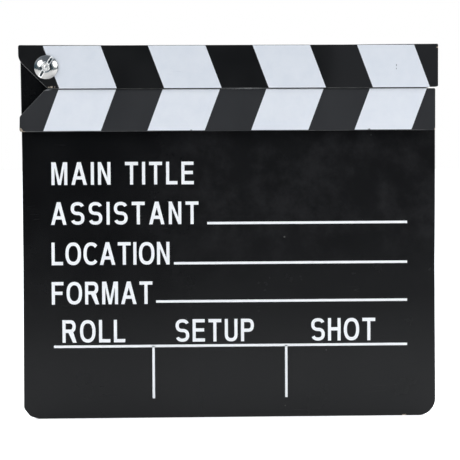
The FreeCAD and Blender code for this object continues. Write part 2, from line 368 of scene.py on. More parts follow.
class Surface(Graph):
    """A material whose shader is one Principled BSDF."""

    def __init__(self, name: str) -> None:
        """Makes the material.

        Args:
            name: the material's name.
        """
        self.material = bpy.data.materials.new(name)
        self.material.use_nodes = True
        super().__init__(self.material.node_tree)
        self.shader = self.tree.nodes["Principled BSDF"]

    def effect(self, group: NodeTree, **inputs: Value) -> bpy_prop_collection:
        """Places a shared group with its own values, and gives its outputs."""
        return self.node("ShaderNodeGroup", inputs, node_tree=group).outputs

    def set(self, **inputs: Value) -> None:
        """Sets or links the shader's inputs, with an underscore for each space in a name."""
        self.feed(self.shader, titled(inputs))

    def bump(self, height: NodeSocket, depth: float) -> None:
        """Raises the surface by a height, of which 1 is a depth in metres."""
        bump = self.node("ShaderNodeBump", {"Height": height, "Distance": depth, "Strength": 1.0})
        self.set(Normal=bump.outputs[0])


@dataclass(frozen=True)
class Dab:
    """A short frayed dab of colour. Some are nicks and rub marks; others are painted highlights along an
    edge.

    Its middle is measured from the pivot. The middle and the half sizes across, up and in are in
    millimetres. It fades from the first reach in to the second one, in half sizes.
    """

    middle: Triple
    across: float
    up: float
    shade: Colour
    depth: float = 4.0
    fray: float = 0.8
    fade: Span = (1.4, 0.8)
    strength: float = 0.8

    def paint(self, surface: Surface, colour: NodeSocket, grain: NodeSocket, pivot: Vector) -> NodeSocket:
        """Paints the stroke over a colour.

        Args:
            surface: the material being built.
            colour: the colour so far.
            grain: a fine noise that frays the stroke.
            pivot: where the stroke is measured from.

        Returns:
            The colour with the stroke.
        """
        scale = [1 / (size * MM) for size in (self.across, self.depth, self.up)]
        start = [-at * factor for at, factor in zip(pivot + mm(*self.middle), scale)]
        centred = {"Vector": surface.place(), "Location": start, "Scale": scale}
        reach = surface.measure("LENGTH", surface.node("ShaderNodeMapping", centred).outputs[0])
        frayed = surface.math("MULTIPLY_ADD", grain, self.fray, reach)
        stroke = surface.remap(frayed, self.fade, (0.0, self.strength))
        return surface.mix(stroke, colour, self.shade)


@dataclass(frozen=True)
class PaintFinish:
    """Dark paint on fibreboard: even on the faces, lighter on the edges by wear and a painted highlight,
    and fuzzy on the sawn sides.

    Its edges are lightest round one place, in millimetres from the pivot, by wear and a painted highlight.
    Past another place along X its face has a painted sheen, and painted sheen in smears high up, where
    given.
    """

    name: str
    dark: Colour
    light: Colour
    # The face's colour past the sheen's start: a painted sheen, lighter than the paint.
    painted_sheen: Colour
    # The edges' colour: handling wear and a painted highlight on the rounded edges.
    worn_rim_highlight: Colour
    roughness: Span
    bare_reach: float
    gloss: float = 0.35
    handled: Triple = (0.0, 0.0, -1000.0)
    handled_span: float = 20.0 * MM
    painted_sheen_from: float = 1.0
    painted_sheen_over: float = 14.0 * MM
    # Painted sheen in lighter cloudy smears, high up where the face has its painted sheen.
    smeared_sheen: Colour | None = None
    smeared_sheen_scale: float = 55.0
    smeared_sheen_from: float = 55.0 * MM
    smeared_sheen_over: float = 45.0 * MM
    dabs: tuple[Dab, ...] = ()
    fibre: Colour = (0.38, 0.29, 0.2)
    dust: Colour = (0.22, 0.21, 0.2)
    dust_strength: float = 0.35
    mark_roughness: float = 0.12
    sawn_roughness: float = 0.2
    peel_depth: float = 0.012 * MM
    mottle_scale: float = 38.0
    peel_scale: float = 1500.0
    fibre_scale: float = 2600.0
    grain_scale: float = 420.0

    def material(self, effects: Effects, pivot: Vector) -> Material:
        """Builds the finish.

        Args:
            effects: the shared groups.
            pivot: where its marks are measured from.

        Returns:
            The material.
        """
        surface = Surface(self.name)
        place = surface.place()
        axes = surface.axes(place)
        skin = surface.effect(
            effects.paint_skin, Mottle=self.mottle_scale, Peel=self.peel_scale, Fibre=self.fibre_scale
        )
        wear = surface.effect(
            effects.edge_wear,
            Grain=self.grain_scale,
            Reach=self.bare_reach,
            Handled=pivot + mm(*self.handled),
            Span=self.handled_span,
        )
        dust = surface.effect(effects.dust, Scale=150.0, Share=0.05)
        marks = surface.effect(
            effects.hairlines, Stretch=(24.0, 24.0, 260.0), Turn=(0.0, 0.35, 0.0), Share=0.32
        )
        # Painted sheen: the face turns lighter along X past a start.
        sheen_mask = surface.remap(axes["X"], (self.painted_sheen_from, self.painted_sheen_from + self.painted_sheen_over))
        colour = surface.mix(surface.remap(skin["Tone"], (0.3, 0.7)), self.dark, self.light)
        colour = surface.mix(sheen_mask, colour, self.painted_sheen)
        # Lighter cloudy smears of painted sheen, high up within the painted sheen.
        if self.smeared_sheen:
            clouds = surface.noise(place, scale=self.smeared_sheen_scale, detail=7.0, roughness=0.72)
            smears = surface.remap(clouds, (0.4, 0.7))
            upper = surface.remap(axes["Z"], (self.smeared_sheen_from, self.smeared_sheen_from + self.smeared_sheen_over))
            colour = surface.mix(surface.fold("MULTIPLY", smears, upper, sheen_mask), colour, self.smeared_sheen)
        # Edges lighter by wear and a painted highlight.
        colour = surface.mix(wear["Thin"], colour, self.worn_rim_highlight)
        for dab in self.dabs:
            colour = dab.paint(surface, colour, skin["Height"], pivot)
        soiled = surface.math("MULTIPLY", dust["Specks"], self.dust_strength)
        colour = surface.mix(soiled, colour, self.dust)
        colour = surface.mix(wear["Bare"], colour, self.fibre)
        roughness = surface.remap(skin["Tone"], (0.25, 0.75), self.roughness)
        roughness = surface.math("MULTIPLY_ADD", marks["Lines"], self.mark_roughness, roughness)
        roughness = surface.math("MULTIPLY_ADD", skin["Sawn"], self.sawn_roughness, roughness)
        surface.set(Base_Color=colour, Roughness=roughness, Specular_IOR_Level=self.gloss)
        surface.bump(skin["Height"], self.peel_depth)
        return surface.material


@dataclass(frozen=True)
class RawFibreFinish:
    """Bare pressed wood fibre, as it shows in a chip or a drilled hole."""

    name: str
    pale: Colour
    brown: Colour
    roughness: float = 0.92
    fuzz_depth: float = 0.08 * MM

    def material(self) -> Material:
        """Builds the finish.

        Returns:
            The material.
        """
        surface = Surface(self.name)
        place = surface.place()
        clumps = surface.noise(place, scale=2200.0, detail=6.0, roughness=0.7)
        hairs = surface.noise(place, scale=9000.0, detail=3.0, roughness=0.6)
        colour = surface.mix(surface.remap(clumps, (0.35, 0.65)), self.brown, self.pale)
        surface.set(Base_Color=colour, Roughness=self.roughness)
        surface.bump(surface.math("ADD", clumps, hairs), self.fuzz_depth)
        return surface.material


@dataclass(frozen=True)
class PrintFinish:
    """White screen-printing ink: a matt film with a faint mottle and the weave of the screen in it."""

    name: str
    white: Colour
    shade: Colour
    dabs: tuple[Dab, ...] = ()
    roughness: Span = (0.45, 0.55)
    soil: Colour = (0.36, 0.38, 0.42)
    soil_strength: float = 0.16
    weave_depth: float = 0.006 * MM

    def material(self, effects: Effects, pivot: Vector) -> Material:
        """Builds the finish.

        Args:
            effects: the shared groups.
            pivot: where its marks are measured from.

        Returns:
            The material.
        """
        surface = Surface(self.name)
        place = surface.place()
        mottle = surface.noise(place, scale=130.0, detail=5.0, roughness=0.65)
        stipple = surface.noise(place, scale=2800.0, detail=2.0, roughness=0.5)
        dust = surface.effect(effects.dust, Scale=210.0, Share=0.05)
        marks = surface.effect(
            effects.hairlines, Stretch=(30.0, 30.0, 300.0), Turn=(0.0, -0.5, 0.0), Share=0.3
        )
        colour = surface.mix(surface.remap(mottle, (0.3, 0.75)), self.white, self.shade)
        dirt = surface.math("MAXIMUM", dust["Specks"], marks["Lines"])
        colour = surface.mix(surface.math("MULTIPLY", dirt, self.soil_strength), colour, self.soil)
        for dab in self.dabs:
            colour = dab.paint(surface, colour, stipple, pivot)
        surface.set(Base_Color=colour, Roughness=surface.remap(stipple, (0.3, 0.7), self.roughness))
        surface.bump(stipple, self.weave_depth)
        return surface.material


@dataclass(frozen=True)
class Drive:
    """Painted light on the screw head's recess: a painted highlight on the pit, a crease round it, and a
    slot.

    The crease has a painted highlight at the upper left, the side the light comes from, and painted shade
    elsewhere. The slot's flanks have a painted highlight, and its floor and the middle of the pit have
    painted shade. The slot's, the floor's and the crease's widths are halves, and the other lengths are
    measured from the screw's axis.
    """

    turn: float = SLOT_TURN
    pit: float = 2.15 * MM
    crease: float = 2.4 * MM
    crease_width: float = 0.42 * MM
    slot_width: float = 1.0 * MM
    floor_width: float = 0.5 * MM
    floor_start: float = 2.6875 * MM
    floor_end: float = 5.2 * MM
    middle: float = 0.42 * MM
    lit_way: Triple = (-0.6, 0.0, 0.8)
    lit_from: float = 1.2 * MM
    lit_fully: float = 2.16 * MM
    # Colour of the painted highlight on the recess.
    bright: Colour = (0.96, 0.95, 0.93)
    # Colour of the painted shade on the recess.
    dark: Colour = (0.06, 0.09, 0.11)
    roughness: float = 0.3

    def marks(self, surface: Surface, pivot: Vector) -> tuple[NodeSocket, NodeSocket]:
        """Finds the recess on the head.

        Args:
            surface: the material being built.
            pivot: a place on the screw's axis.

        Returns:
            Where the painted highlight and where the painted shade lie on the head.
        """
        offset = surface.vector("SUBTRACT", surface.place(), pivot)
        reach = surface.measure("LENGTH", surface.vector("MULTIPLY", offset, (1.0, 0.0, 1.0)))
        over_slot = (-math.sin(self.turn), 0.0, math.cos(self.turn))
        across = surface.math("ABSOLUTE", surface.measure("DOT_PRODUCT", offset, over_slot))
        slot = surface.within(across, self.slot_width, core=0.75)
        pit = surface.within(reach, self.pit, core=0.8)
        off_crease = surface.math("ABSOLUTE", surface.math("SUBTRACT", reach, self.crease))
        ring = surface.within(off_crease, self.crease_width, core=0.3)
        crease = surface.math("MULTIPLY", ring, surface.math("SUBTRACT", 1.0, slot))
        upwards = surface.measure("DOT_PRODUCT", offset, self.lit_way)
        lit = surface.math("MULTIPLY", crease, surface.remap(upwards, (self.lit_from, self.lit_fully)))
        trough = surface.within(across, self.floor_width, core=0.6)
        beyond = surface.remap(reach, (self.pit, self.floor_start))
        inside = surface.within(reach, self.floor_end, core=0.93)
        floor = surface.fold("MULTIPLY", trough, beyond, inside)
        middle = surface.within(reach, self.middle, core=0.4, full=0.7)
        # Painted highlight on the pit, the slot's flanks and the crease's upper left; painted shade on the
        # rest of the crease, the slot's floor and the pit's middle.
        bright = surface.fold("MAXIMUM", pit, slot, lit)
        return bright, surface.fold("MAXIMUM", surface.math("SUBTRACT", crease, lit), floor, middle)


@dataclass(frozen=True)
class PlatedFinish:
    """Bright zinc plate on steel, a little cloudy, with a fine tumbled grain."""

    name: str
    drive: Drive | None = None
    bright: Colour = (0.49, 0.478, 0.46)
    cloudy: Colour = (0.41, 0.402, 0.39)
    roughness: Span = (0.13, 0.22)
    mark_roughness: float = 0.15
    grain_depth: float = 0.004 * MM

    def material(self, effects: Effects, pivot: Vector) -> Material:
        """Builds the finish.

        Args:
            effects: the shared groups.
            pivot: a place on the screw's axis.

        Returns:
            The material.
        """
        surface = Surface(self.name)
        place = surface.place()
        clouds = surface.noise(place, scale=420.0, detail=4.0, roughness=0.6)
        grain = surface.noise(place, scale=3600.0, detail=3.0, roughness=0.55)
        marks = surface.effect(
            effects.hairlines, Stretch=(180.0, 180.0, 1500.0), Turn=(0.0, 0.8, 0.0), Share=0.4
        )
        colour = surface.mix(surface.remap(clouds, (0.35, 0.7)), self.bright, self.cloudy)
        roughness = surface.remap(clouds, (0.3, 0.7), self.roughness)
        if self.drive:
            # Painted highlight and painted shade over the screw's recess.
            painted_highlight, painted_shade = self.drive.marks(surface, pivot)
            colour = surface.mix(painted_highlight, colour, self.drive.bright)
            colour = surface.mix(painted_shade, colour, self.drive.dark)
            roughness = surface.math("MULTIPLY_ADD", painted_highlight, self.drive.roughness, roughness)
        roughness = surface.math("MULTIPLY_ADD", marks["Lines"], self.mark_roughness, roughness)
        surface.set(Base_Color=colour, Metallic=1.0, Roughness=roughness)
        surface.bump(grain, self.grain_depth)
        return surface.material


# A painted highlight along the clap edges of both sticks, where they meet.
CLAP_EDGE_HIGHLIGHT = (0.95, 0.95, 0.95)
# A painted highlight on the lower stick's rounded nose.
NOSE_HIGHLIGHT = (0.26, 0.26, 0.265)
INK_NICK = (0.02, 0.02, 0.022)
INK_SCRATCH = (0.12, 0.13, 0.15)

SLATE_PAINT = PaintFinish(
    "satin_black_paint",
    dark=(0.004, 0.004, 0.0044),
    light=(0.0055, 0.0055, 0.006),
    # Painted sheen, growing lighter from left of the middle to the slate's right half.
    painted_sheen=(0.0077, 0.0077, 0.0081),
    worn_rim_highlight=(0.05, 0.05, 0.05),
    roughness=(0.22, 0.28),
    bare_reach=0.22,
    gloss=0.27,
    painted_sheen_from=-60.0 * MM,
    painted_sheen_over=60.0 * MM,
    # Painted sheen in smears high up on the slate's right.
    smeared_sheen=(0.0175, 0.0172, 0.018),
)
UPPER_PAINT = PaintFinish(
    "upper_stick_black_paint",
    dark=(0.0055, 0.0055, 0.0059),
    light=(0.0075, 0.0075, 0.0079),
    # Painted sheen towards the clapper's right end.
    painted_sheen=(0.0165, 0.0165, 0.0175),
    # Edges lightened by wear and a painted highlight.
    worn_rim_highlight=(0.3, 0.3, 0.29),
    roughness=(0.3, 0.38),
    bare_reach=0.26,
    handled=(-6.0, UPPER_FACE, -5.0),
    handled_span=15.0 * MM,
    painted_sheen_from=42.0 * MM,
    # A painted highlight along the clapper's lower edge.
    dabs=(Dab((95.6, UPPER_FACE, -10.43), across=19.0, up=0.25, shade=CLAP_EDGE_HIGHLIGHT),),
)
LOWER_PAINT = PaintFinish(
    "lower_stick_charcoal_paint",
    dark=(0.0178, 0.0182, 0.0204),
    light=(0.0238, 0.0242, 0.0266),
    painted_sheen=(0.0208, 0.0212, 0.0235),
    # Edges lightened by wear and a painted highlight.
    worn_rim_highlight=(0.3, 0.295, 0.285),
    roughness=(0.5, 0.58),
    bare_reach=0.26,
    handled=(-8.0, LOWER_FACE, -18.0),
    handled_span=25.0 * MM,
    dabs=(
        # A painted highlight on the lower stick's nose.
        Dab((0.0, LOWER_FACE, -10.65), across=2.6, up=0.6, shade=NOSE_HIGHLIGHT),
        # A painted highlight along the lower stick's top edge.
        Dab((95.6, LOWER_FACE, -10.45), across=19.0, up=0.3, shade=CLAP_EDGE_HIGHLIGHT),
    ),
)
RAW_FIBRE = RawFibreFinish("raw_fibreboard", pale=(0.58, 0.5, 0.41), brown=(0.3, 0.245, 0.19))
LOWER_INK = PrintFinish(
    "lower_stripe_ink",
    white=(0.827, 0.843, 0.889),
    shade=(0.784, 0.805, 0.86),
    dabs=(
        Dab((154.8, LOWER_FACE, -30.45), across=0.9, up=0.75, shade=INK_NICK),
        Dab((69.0, LOWER_FACE, -30.45), across=0.7, up=0.6, shade=INK_NICK),
    ),
)
UPPER_INK = PrintFinish(
    "upper_stripe_ink",
    white=(0.797, 0.816, 0.865),
    shade=(0.754, 0.78, 0.835),
    dabs=(
        Dab((167.8, UPPER_FACE, 0.38), across=0.3, up=0.75, shade=INK_SCRATCH),
        Dab((167.8, UPPER_FACE, -1.23), across=0.26, up=0.5, shade=INK_SCRATCH),
    ),
)
SLATE_INK = PrintFinish("slate_ink", white=(0.98, 0.98, 0.985), shade=(0.94, 0.94, 0.95))
ZINC = PlatedFinish("zinc_plate")
# Zinc with painted highlight and painted shade on the screw's recess.
RECESS_LIT_ZINC = PlatedFinish("stamped_zinc_plate", Drive())


@dataclass(frozen=True)
class Finishes:
    """Every material on the board."""

    slate: Material
    lower_stick: Material
    upper_stick: Material
    raw_fibre: Material
    lower_ink: Material
    upper_ink: Material
    slate_ink: Material
    zinc: Material
    stamped_zinc: Material

    @classmethod
    def make(cls, pivot: Vector) -> "Finishes":
        """Builds every material once.

        Args:
            pivot: where marks are measured from.

        Returns:
            The materials.
        """
        effects = Effects.make()
        return cls(
            slate=SLATE_PAINT.material(effects, pivot),
            lower_stick=LOWER_PAINT.material(effects, pivot),
            upper_stick=UPPER_PAINT.material(effects, pivot),
            raw_fibre=RAW_FIBRE.material(),
            lower_ink=LOWER_INK.material(effects, pivot),
            upper_ink=UPPER_INK.material(effects, pivot),
            slate_ink=SLATE_INK.material(effects, pivot),
            zinc=ZINC.material(effects, pivot),
            stamped_zinc=RECESS_LIT_ZINC.material(effects, pivot),
        )


def new_object(name: str, data: ID) -> Object:
    """Puts a mesh, a curve, a light or a camera in the scene.

    Args:
        name: the object's name.
        data: what it shows.

    Returns:
        The object.
    """
    made = bpy.data.objects.new(name, data)
    bpy.context.scene.collection.objects.link(made)
    return made


def mesh_from(name: str, shape: bmesh.types.BMesh) -> Mesh:
    """Makes a mesh of a working shape, and frees the shape.

    Args:
        name: the mesh's name.
        shape: the working shape.

    Returns:
        The mesh.
    """
    mesh = bpy.data.meshes.new(name)
    shape.to_mesh(mesh)
    shape.free()
    return mesh


def baked_mesh(source: Object) -> Mesh:
    """Turns what an object shows into a plain mesh and removes the object.

    Args:
        source: an object with modifiers, or a curve.

    Returns:
        The mesh.
    """
    bpy.context.view_layer.update()
    depsgraph = bpy.context.evaluated_depsgraph_get()
    mesh = bpy.data.meshes.new_from_object(source.evaluated_get(depsgraph), depsgraph=depsgraph)
    bpy.data.objects.remove(source)
    return mesh


def grown_mesh(tree: NodeTree, **inputs: Value) -> Mesh:
    """Runs a geometry tree on its own.

    Args:
        tree: the tree.
        inputs: the value of each input. An underscore in a name stands for a space.

    Returns:
        The mesh that the tree makes.
    """
    host = new_object(tree.name, bpy.data.meshes.new(tree.name))
    modifier = host.modifiers.new(tree.name, "NODES")
    modifier.node_group = tree
    values = titled(inputs)
    for item in tree.interface.items_tree:
        if item.name in values:
            modifier[item.identifier] = values[item.name]
    return baked_mesh(host)


def skinned_mesh(name: str, rings: Sequence[Sequence[Sequence[float]]], closed: bool = False) -> Mesh:
    """Skins a stack of rings that have the same count of points.

    Args:
        name: the mesh's name.
        rings: the points of each ring.
        closed: whether the last ring joins the first, as on a washer. Otherwise both ends get a cap.

    Returns:
        The closed mesh.
    """
    count = len(rings[0])
    last = (len(rings) - 1) * count
    faces = []
    for k in range(len(rings) if closed else len(rings) - 1):
        here = k * count
        there = (k + 1) % len(rings) * count
        for i in range(count):
            j = (i + 1) % count
            faces.append((here + i, there + i, there + j, here + j))
    if not closed:
        faces += [tuple(range(count)), tuple(range(last + count - 1, last - 1, -1))]
    mesh = bpy.data.meshes.new(name)
    mesh.from_pydata([point for ring in rings for point in ring], [], faces)
    return mesh


def smooth(mesh: Mesh, edge: float = METAL_EDGE) -> None:
    """Shades a mesh smooth, apart from edges that are sharper than an angle."""
    mesh.shade_smooth()
    mesh.set_sharp_from_angle(angle=edge)


def add_piece(
    name: str,
    mesh: Mesh,
    body: Body,
    material: Material | None = None,
    stands_for: str | None = None,
) -> None:
    """Makes a finished mesh a piece of the board.

    Args:
        name: the piece's name.
        mesh: its mesh, in place.
        body: what it rides on.
        material: its material, where the mesh doesn't have it yet.
        stands_for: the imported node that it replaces, if any.
    """
    mesh.name = name
    piece = new_object(name, mesh)
    if material:
        mesh.materials.clear()
        mesh.materials.append(material)
    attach(piece, body.value)
    if stands_for:
        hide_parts(stands_for)
    log.info("%s: %d faces on %s", name, len(mesh.polygons), body.value)


@dataclass(frozen=True)
class Corner:
    """A corner of an outline seen from the front, with the radius that rounds it."""

    x: float
    z: float
    radius: float

    @property
    def place(self) -> Vector:
        """Gives the corner across and up."""
        return Vector((self.x, self.z))


def rounded_outline(corners: Sequence[Corner], steps: int, pitch: float) -> list[Vector]:
    """Walks anticlockwise round an outline, with an arc at each corner and points along each side.

    Args:
        corners: the corners in that order.
        steps: the number of steps on an arc.
        pitch: the longest step along a side.

    Returns:
        The points, across and up.
    """
    arcs = []
    for i, corner in enumerate(corners):
        to_last = (corners[i - 1].place - corner.place).normalized()
        to_next = (corners[(i + 1) % len(corners)].place - corner.place).normalized()
        half = to_last.angle(to_next) / 2
        centre = corner.place + (to_last + to_next).normalized() * (corner.radius / math.sin(half))
        start = corner.place + to_last * (corner.radius / math.tan(half)) - centre
        end = corner.place + to_next * (corner.radius / math.tan(half)) - centre
        sweep = math.atan2(start.x * end.y - start.y * end.x, start.dot(end))
        turns = [Matrix.Rotation(sweep * k / steps, 2) for k in range(steps + 1)]
        arcs.append([centre + turn @ start for turn in turns])
    points = []
    for i, arc in enumerate(arcs):
        last = arcs[i - 1][-1]
        count = math.ceil((arc[0] - last).length / pitch)
        points += [last.lerp(arc[0], k / count) for k in range(1, count)]
        points += arc
    return points


@dataclass
class RolledBoard:
    """A flat board between two depths, whose edges are rolled over unevenly by sanding and handling."""

    outline: list[Vector]
    front: float
    back: float
    roll: float
    unevenness: float = 0.45
    wave: float = 90.0
    wave_apart: float = 40.0
    steps: int = 4
    support: float = 0.35 * MM

    def normals(self) -> list[Vector]:
        """Finds how each point moves when every side moves outwards by one.

        Returns:
            The outward moves.
        """
        moves = []
        for i, here in enumerate(self.outline):
            before = (here - self.outline[i - 1]).normalized()
            after = (self.outline[(i + 1) % len(self.outline)] - here).normalized()
            first = Vector((before.y, -before.x))
            second = Vector((after.y, -after.x))
            moves.append((first + second) / (1 + first.dot(second)))
        return moves

    def ring(self, share: float, depth: float, side: int, moves: list[Vector]) -> list[Vector]:
        """Places one ring of the edge.

        Args:
            share: how far the edge has turned, from 0 on the face to 1 on the side.
            depth: the depth of the face.
            side: 1 where the board lies behind that face, -1 where it lies in front of it.
            moves: the outline's outward moves.

        Returns:
            The ring's points.
        """
        angle = share * math.pi / 2
        points = []
        for here, move in zip(self.outline, moves):
            wave = noise.noise(Vector((here.x, depth * self.wave_apart, here.y)) * self.wave)
            roll = self.roll * (1 + self.unevenness * wave)
            flat = here - move * roll * (1 - math.sin(angle))
            points.append(Vector((flat.x, depth + side * roll * (1 - math.cos(angle)), flat.y)))
        return points

    def mesh(self, name: str) -> Mesh:
        """Skins the board.

        Args:
            name: the mesh's name.

        Returns:
            The closed mesh, with flat faces and smooth edges.
        """
        moves = self.normals()
        turns = [k / self.steps for k in range(self.steps + 1)]
        rings = [self.ring(turn, self.front, 1, moves) for turn in turns]
        hold = self.roll * (1 + self.unevenness) + self.support
        for depth in (self.front + hold, self.back - hold):
            rings.append([Vector((here.x, depth, here.y)) for here in self.outline])
        rings += [self.ring(turn, self.back, -1, moves) for turn in reversed(turns)]
        mesh = skinned_mesh(name, rings)
        for polygon in mesh.polygons:
            polygon.use_smooth = len(polygon.vertices) == 4
        return mesh


@dataclass(frozen=True)
class Chip:
    """A lump of fibreboard that has broken off, with its half size each way."""

    place: Vector
    size: Vector
    seed: float
    ragged: float = 0.45
    lumps: float = 2.3

    def cut_with(self, tool: bmesh.types.BMesh) -> None:
        """Adds the lump, an uneven ball, to a cutting tool.

        Args:
            tool: the tool that takes it away.
        """
        ball = bmesh.ops.create_icosphere(tool, subdivisions=3, radius=1.0)
        for vertex in ball["verts"]:
            swell = 1 + self.ragged * noise.noise(vertex.co * self.lumps + Vector((self.seed, 0, 0)))
            vertex.co = self.place + vertex.co * self.size * swell


@dataclass(frozen=True)
class PivotHole:
    """The hole that the pivot screw goes through."""

    pivot: Vector
    radius: float
    reach: float = 20.0 * MM
    segments: int = 64

    def cut_with(self, tool: bmesh.types.BMesh) -> None:
        """Adds the drill to a cutting tool.

        Args:
            tool: the tool that takes the hole away.
        """
        bmesh.ops.create_cone(
            tool,
            cap_ends=True,
            segments=self.segments,
            radius1=self.radius,
            radius2=self.radius,
            depth=self.reach,
            matrix=Matrix.Translation(self.pivot) @ Matrix.Rotation(math.pi / 2, 4, "X"),
        )


def carved_mesh(board: Mesh, paint: Material, bare: Material, cuts: Sequence[Chip | PivotHole]) -> Mesh:
    """Cuts chips and holes out of a painted board.

    Args:
        board: the board's mesh.
        paint: the material on it.
        bare: the material that shows in the cuts.
        cuts: what is taken away.

    Returns:
        The carved mesh.
    """
    shapes = bmesh.new()
    for cut in cuts:
        cut.cut_with(shapes)
    tool = new_object("cuts", mesh_from("cuts", shapes))
    tool.data.materials.append(bare)
    board.materials.append(paint)
    body = new_object("board", board)
    modifier = body.modifiers.new("cuts", "BOOLEAN")
    modifier.operation = "DIFFERENCE"
    modifier.solver = "EXACT"
    modifier.material_mode = "TRANSFER"
    modifier.use_self = True
    modifier.object = tool
    mesh = baked_mesh(body)
    bpy.data.objects.remove(tool)
    return mesh


def mirrored(left: list[Point], width: float) -> list[Point]:
    """Completes an even outline from its left half."""
    return left + [(width - x, z) for x, z in reversed(left)]


@dataclass(frozen=True)
class Glyph:
    """A letter's width and its closed outlines, in millimetres."""

    width: float
    outlines: list[list[Point]]


@dataclass(frozen=True)
class Alphabet:
    """Bold, narrow capitals with plain ends, drawn by rule. Lengths are in millimetres."""

    cap: float = 11.0
    stem: float = 1.52
    bar: float = 1.62
    space: float = 3.2
    squareness: float = 2.35
    bowl_narrowing: float = 0.86
    arc_step: float = 9.0

    @property
    def under(self) -> float:
        """Gives the height of a top bar's lower edge."""
        return self.cap - self.bar

    def beam(self, share: float) -> Span:
        """Gives the lower and the upper edge of a bar at a share of the height."""
        return self.cap * share - self.bar / 2, self.cap * share + self.bar / 2

    def arc(self, centre: Point, radii: Point, start: float, end: float) -> list[Point]:
        """Samples a rounded stroke, a little squarer than an ellipse.

        Args:
            centre: its centre.
            radii: its half width and half height.
            start: where it starts, in degrees from the right, anticlockwise.
            end: where it ends.

        Returns:
            The points.
        """
        count = max(2, round(abs(end - start) / self.arc_step))
        power = 2 / self.squareness
        points = []
        for k in range(count + 1):
            angle = math.radians(start + (end - start) * k / count)
            across = math.copysign(abs(math.cos(angle)) ** power, math.cos(angle))
            up = math.copysign(abs(math.sin(angle)) ** power, math.sin(angle))
            points.append((centre[0] + radii[0] * across, centre[1] + radii[1] * up))
        return points

    def band(self, radii: Point, start: float, end: float) -> list[list[Point]]:
        """Gives the outer edge of a round at the lower left, and its inner edge on the way back."""
        inner = (radii[0] - self.stem, radii[1] - self.bar)
        return [self.arc(radii, radii, start, end), self.arc(radii, inner, end, start)]

    def stroke(self, path: list[Point], width: float) -> list[Point]:
        """Gives a path a width.

        Args:
            path: the middle of the stroke.
            width: its width.

        Returns:
            The stroke's outline.
        """
        left = []
        right = []
        for i, (x, z) in enumerate(path):
            before = Vector(path[max(i - 1, 0)])
            after = Vector(path[min(i + 1, len(path) - 1)])
            along = (after - before).normalized() * (width / 2)
            left.append((x - along.y, z + along.x))
            right.append((x + along.y, z - along.x))
        return right + left[::-1]

    def bowl(self, width: float, foot: float, start: float) -> tuple[list[Point], list[Point]]:
        """Draws the round half of a P or an R.

        Args:
            width: the letter's width.
            foot: the height of the bowl's lower edge.
            start: where its outer edge starts, in degrees from the right.

        Returns:
            The outer edge's points and the counter's outline.
        """
        half = (self.cap - foot) / 2
        radius = self.bowl_narrowing * half
        middle = (width - radius, foot + half)
        outer = self.arc(middle, (radius, half), start, 90)
        inner = self.arc(middle, (radius - self.stem, half - self.bar), -90, 90)
        return outer, [(self.stem, foot + self.bar), *inner, (self.stem, self.under)]

    def letter_a(self) -> Glyph:
        """Draws an A.

        Returns:
            The letter.
        """
        width, foot, top, sill = 7.5, 1.65, 1.8, 2.6
        run = (width - top) / 2 / self.cap
        left = [(foot + run * sill, sill), (foot, 0), (0, 0), ((width - top) / 2, self.cap)]
        lintel = sill + self.bar
        apex = (width / 2, (width / 2 - foot) / run)
        counter = [apex, *mirrored([(foot + run * lintel, lintel)], width)]
        return Glyph(width, [mirrored(left, width), counter])

    def letter_c(self) -> Glyph:
        """Draws a C.

        Returns:
            The letter.
        """
        width, radius, opening = 6.65, 3.75, 42
        outer, inner = self.band((radius, self.cap / 2), opening, 360 - opening)
        return Glyph(width, [outer + inner])

    def letter_e(self) -> Glyph:
        """Draws an E.

        Returns:
            The letter.
        """
        width, short, top = 6.0, 5.6, 5.9
        low, high = self.beam(0.52)
        outline = [
            (0, 0), (width, 0), (width, self.bar), (self.stem, self.bar),
            (self.stem, low), (short, low), (short, high), (self.stem, high),
            (self.stem, self.under), (top, self.under), (top, self.cap), (0, self.cap),
        ]
        return Glyph(width, [outline])

    def letter_f(self) -> Glyph:
        """Draws an F.

        Returns:
            The letter.
        """
        width, short = 5.7, 5.2
        low, high = self.beam(0.5)
        outline = [
            (0, 0), (self.stem, 0), (self.stem, low), (short, low), (short, high), (self.stem, high),
            (self.stem, self.under), (width, self.under), (width, self.cap), (0, self.cap),
        ]
        return Glyph(width, [outline])

    def letter_h(self) -> Glyph:
        """Draws an H.

        Returns:
            The letter.
        """
        width = 6.2
        low, high = self.beam(0.52)
        stem = [(self.stem, 0), (0, 0), (0, self.cap), (self.stem, self.cap)]
        return Glyph(width, [mirrored([(self.stem, low), *stem, (self.stem, high)], width)])

    def letter_i(self) -> Glyph:
        """Draws an I."""
        return Glyph(self.stem, [mirrored([(0, 0), (0, self.cap)], self.stem)])

    def letter_l(self) -> Glyph:
        """Draws an L.

        Returns:
            The letter.
        """
        width = 5.5
        foot = [(0, 0), (width, 0), (width, self.bar), (self.stem, self.bar)]
        return Glyph(width, [[*foot, (self.stem, self.cap), (0, self.cap)]])

    def letter_m(self) -> Glyph:
        """Draws an M.

        Returns:
            The letter.
        """
        width, shoulder, tip, valley, armpit = 7.7, 2.1, 0.72, 2.5, 8.3
        left = [
            (shoulder, self.cap), (0, self.cap), (0, 0),
            (self.stem, 0), (self.stem, armpit), (width / 2 - tip, 0),
        ]
        return Glyph(width, [[(width / 2, valley), *mirrored(left, width)]])

    def letter_n(self) -> Glyph:
        """Draws an N.

        Returns:
            The letter.
        """
        width, slant = 6.1, 3.35
        stem = [(0, self.cap), (0, 0), (self.stem, 0)]
        half = [*stem, (self.stem, self.cap - slant), (width - self.stem, 0)]
        return Glyph(width, [half + [(width - x, self.cap - z) for x, z in half]])

    def letter_o(self) -> Glyph:
        """Draws an O.

        Returns:
            The letter.
        """
        width = 7.5
        edges = self.band((width / 2, self.cap / 2), 0, 360)
        return Glyph(width, [edge[:-1] for edge in edges])

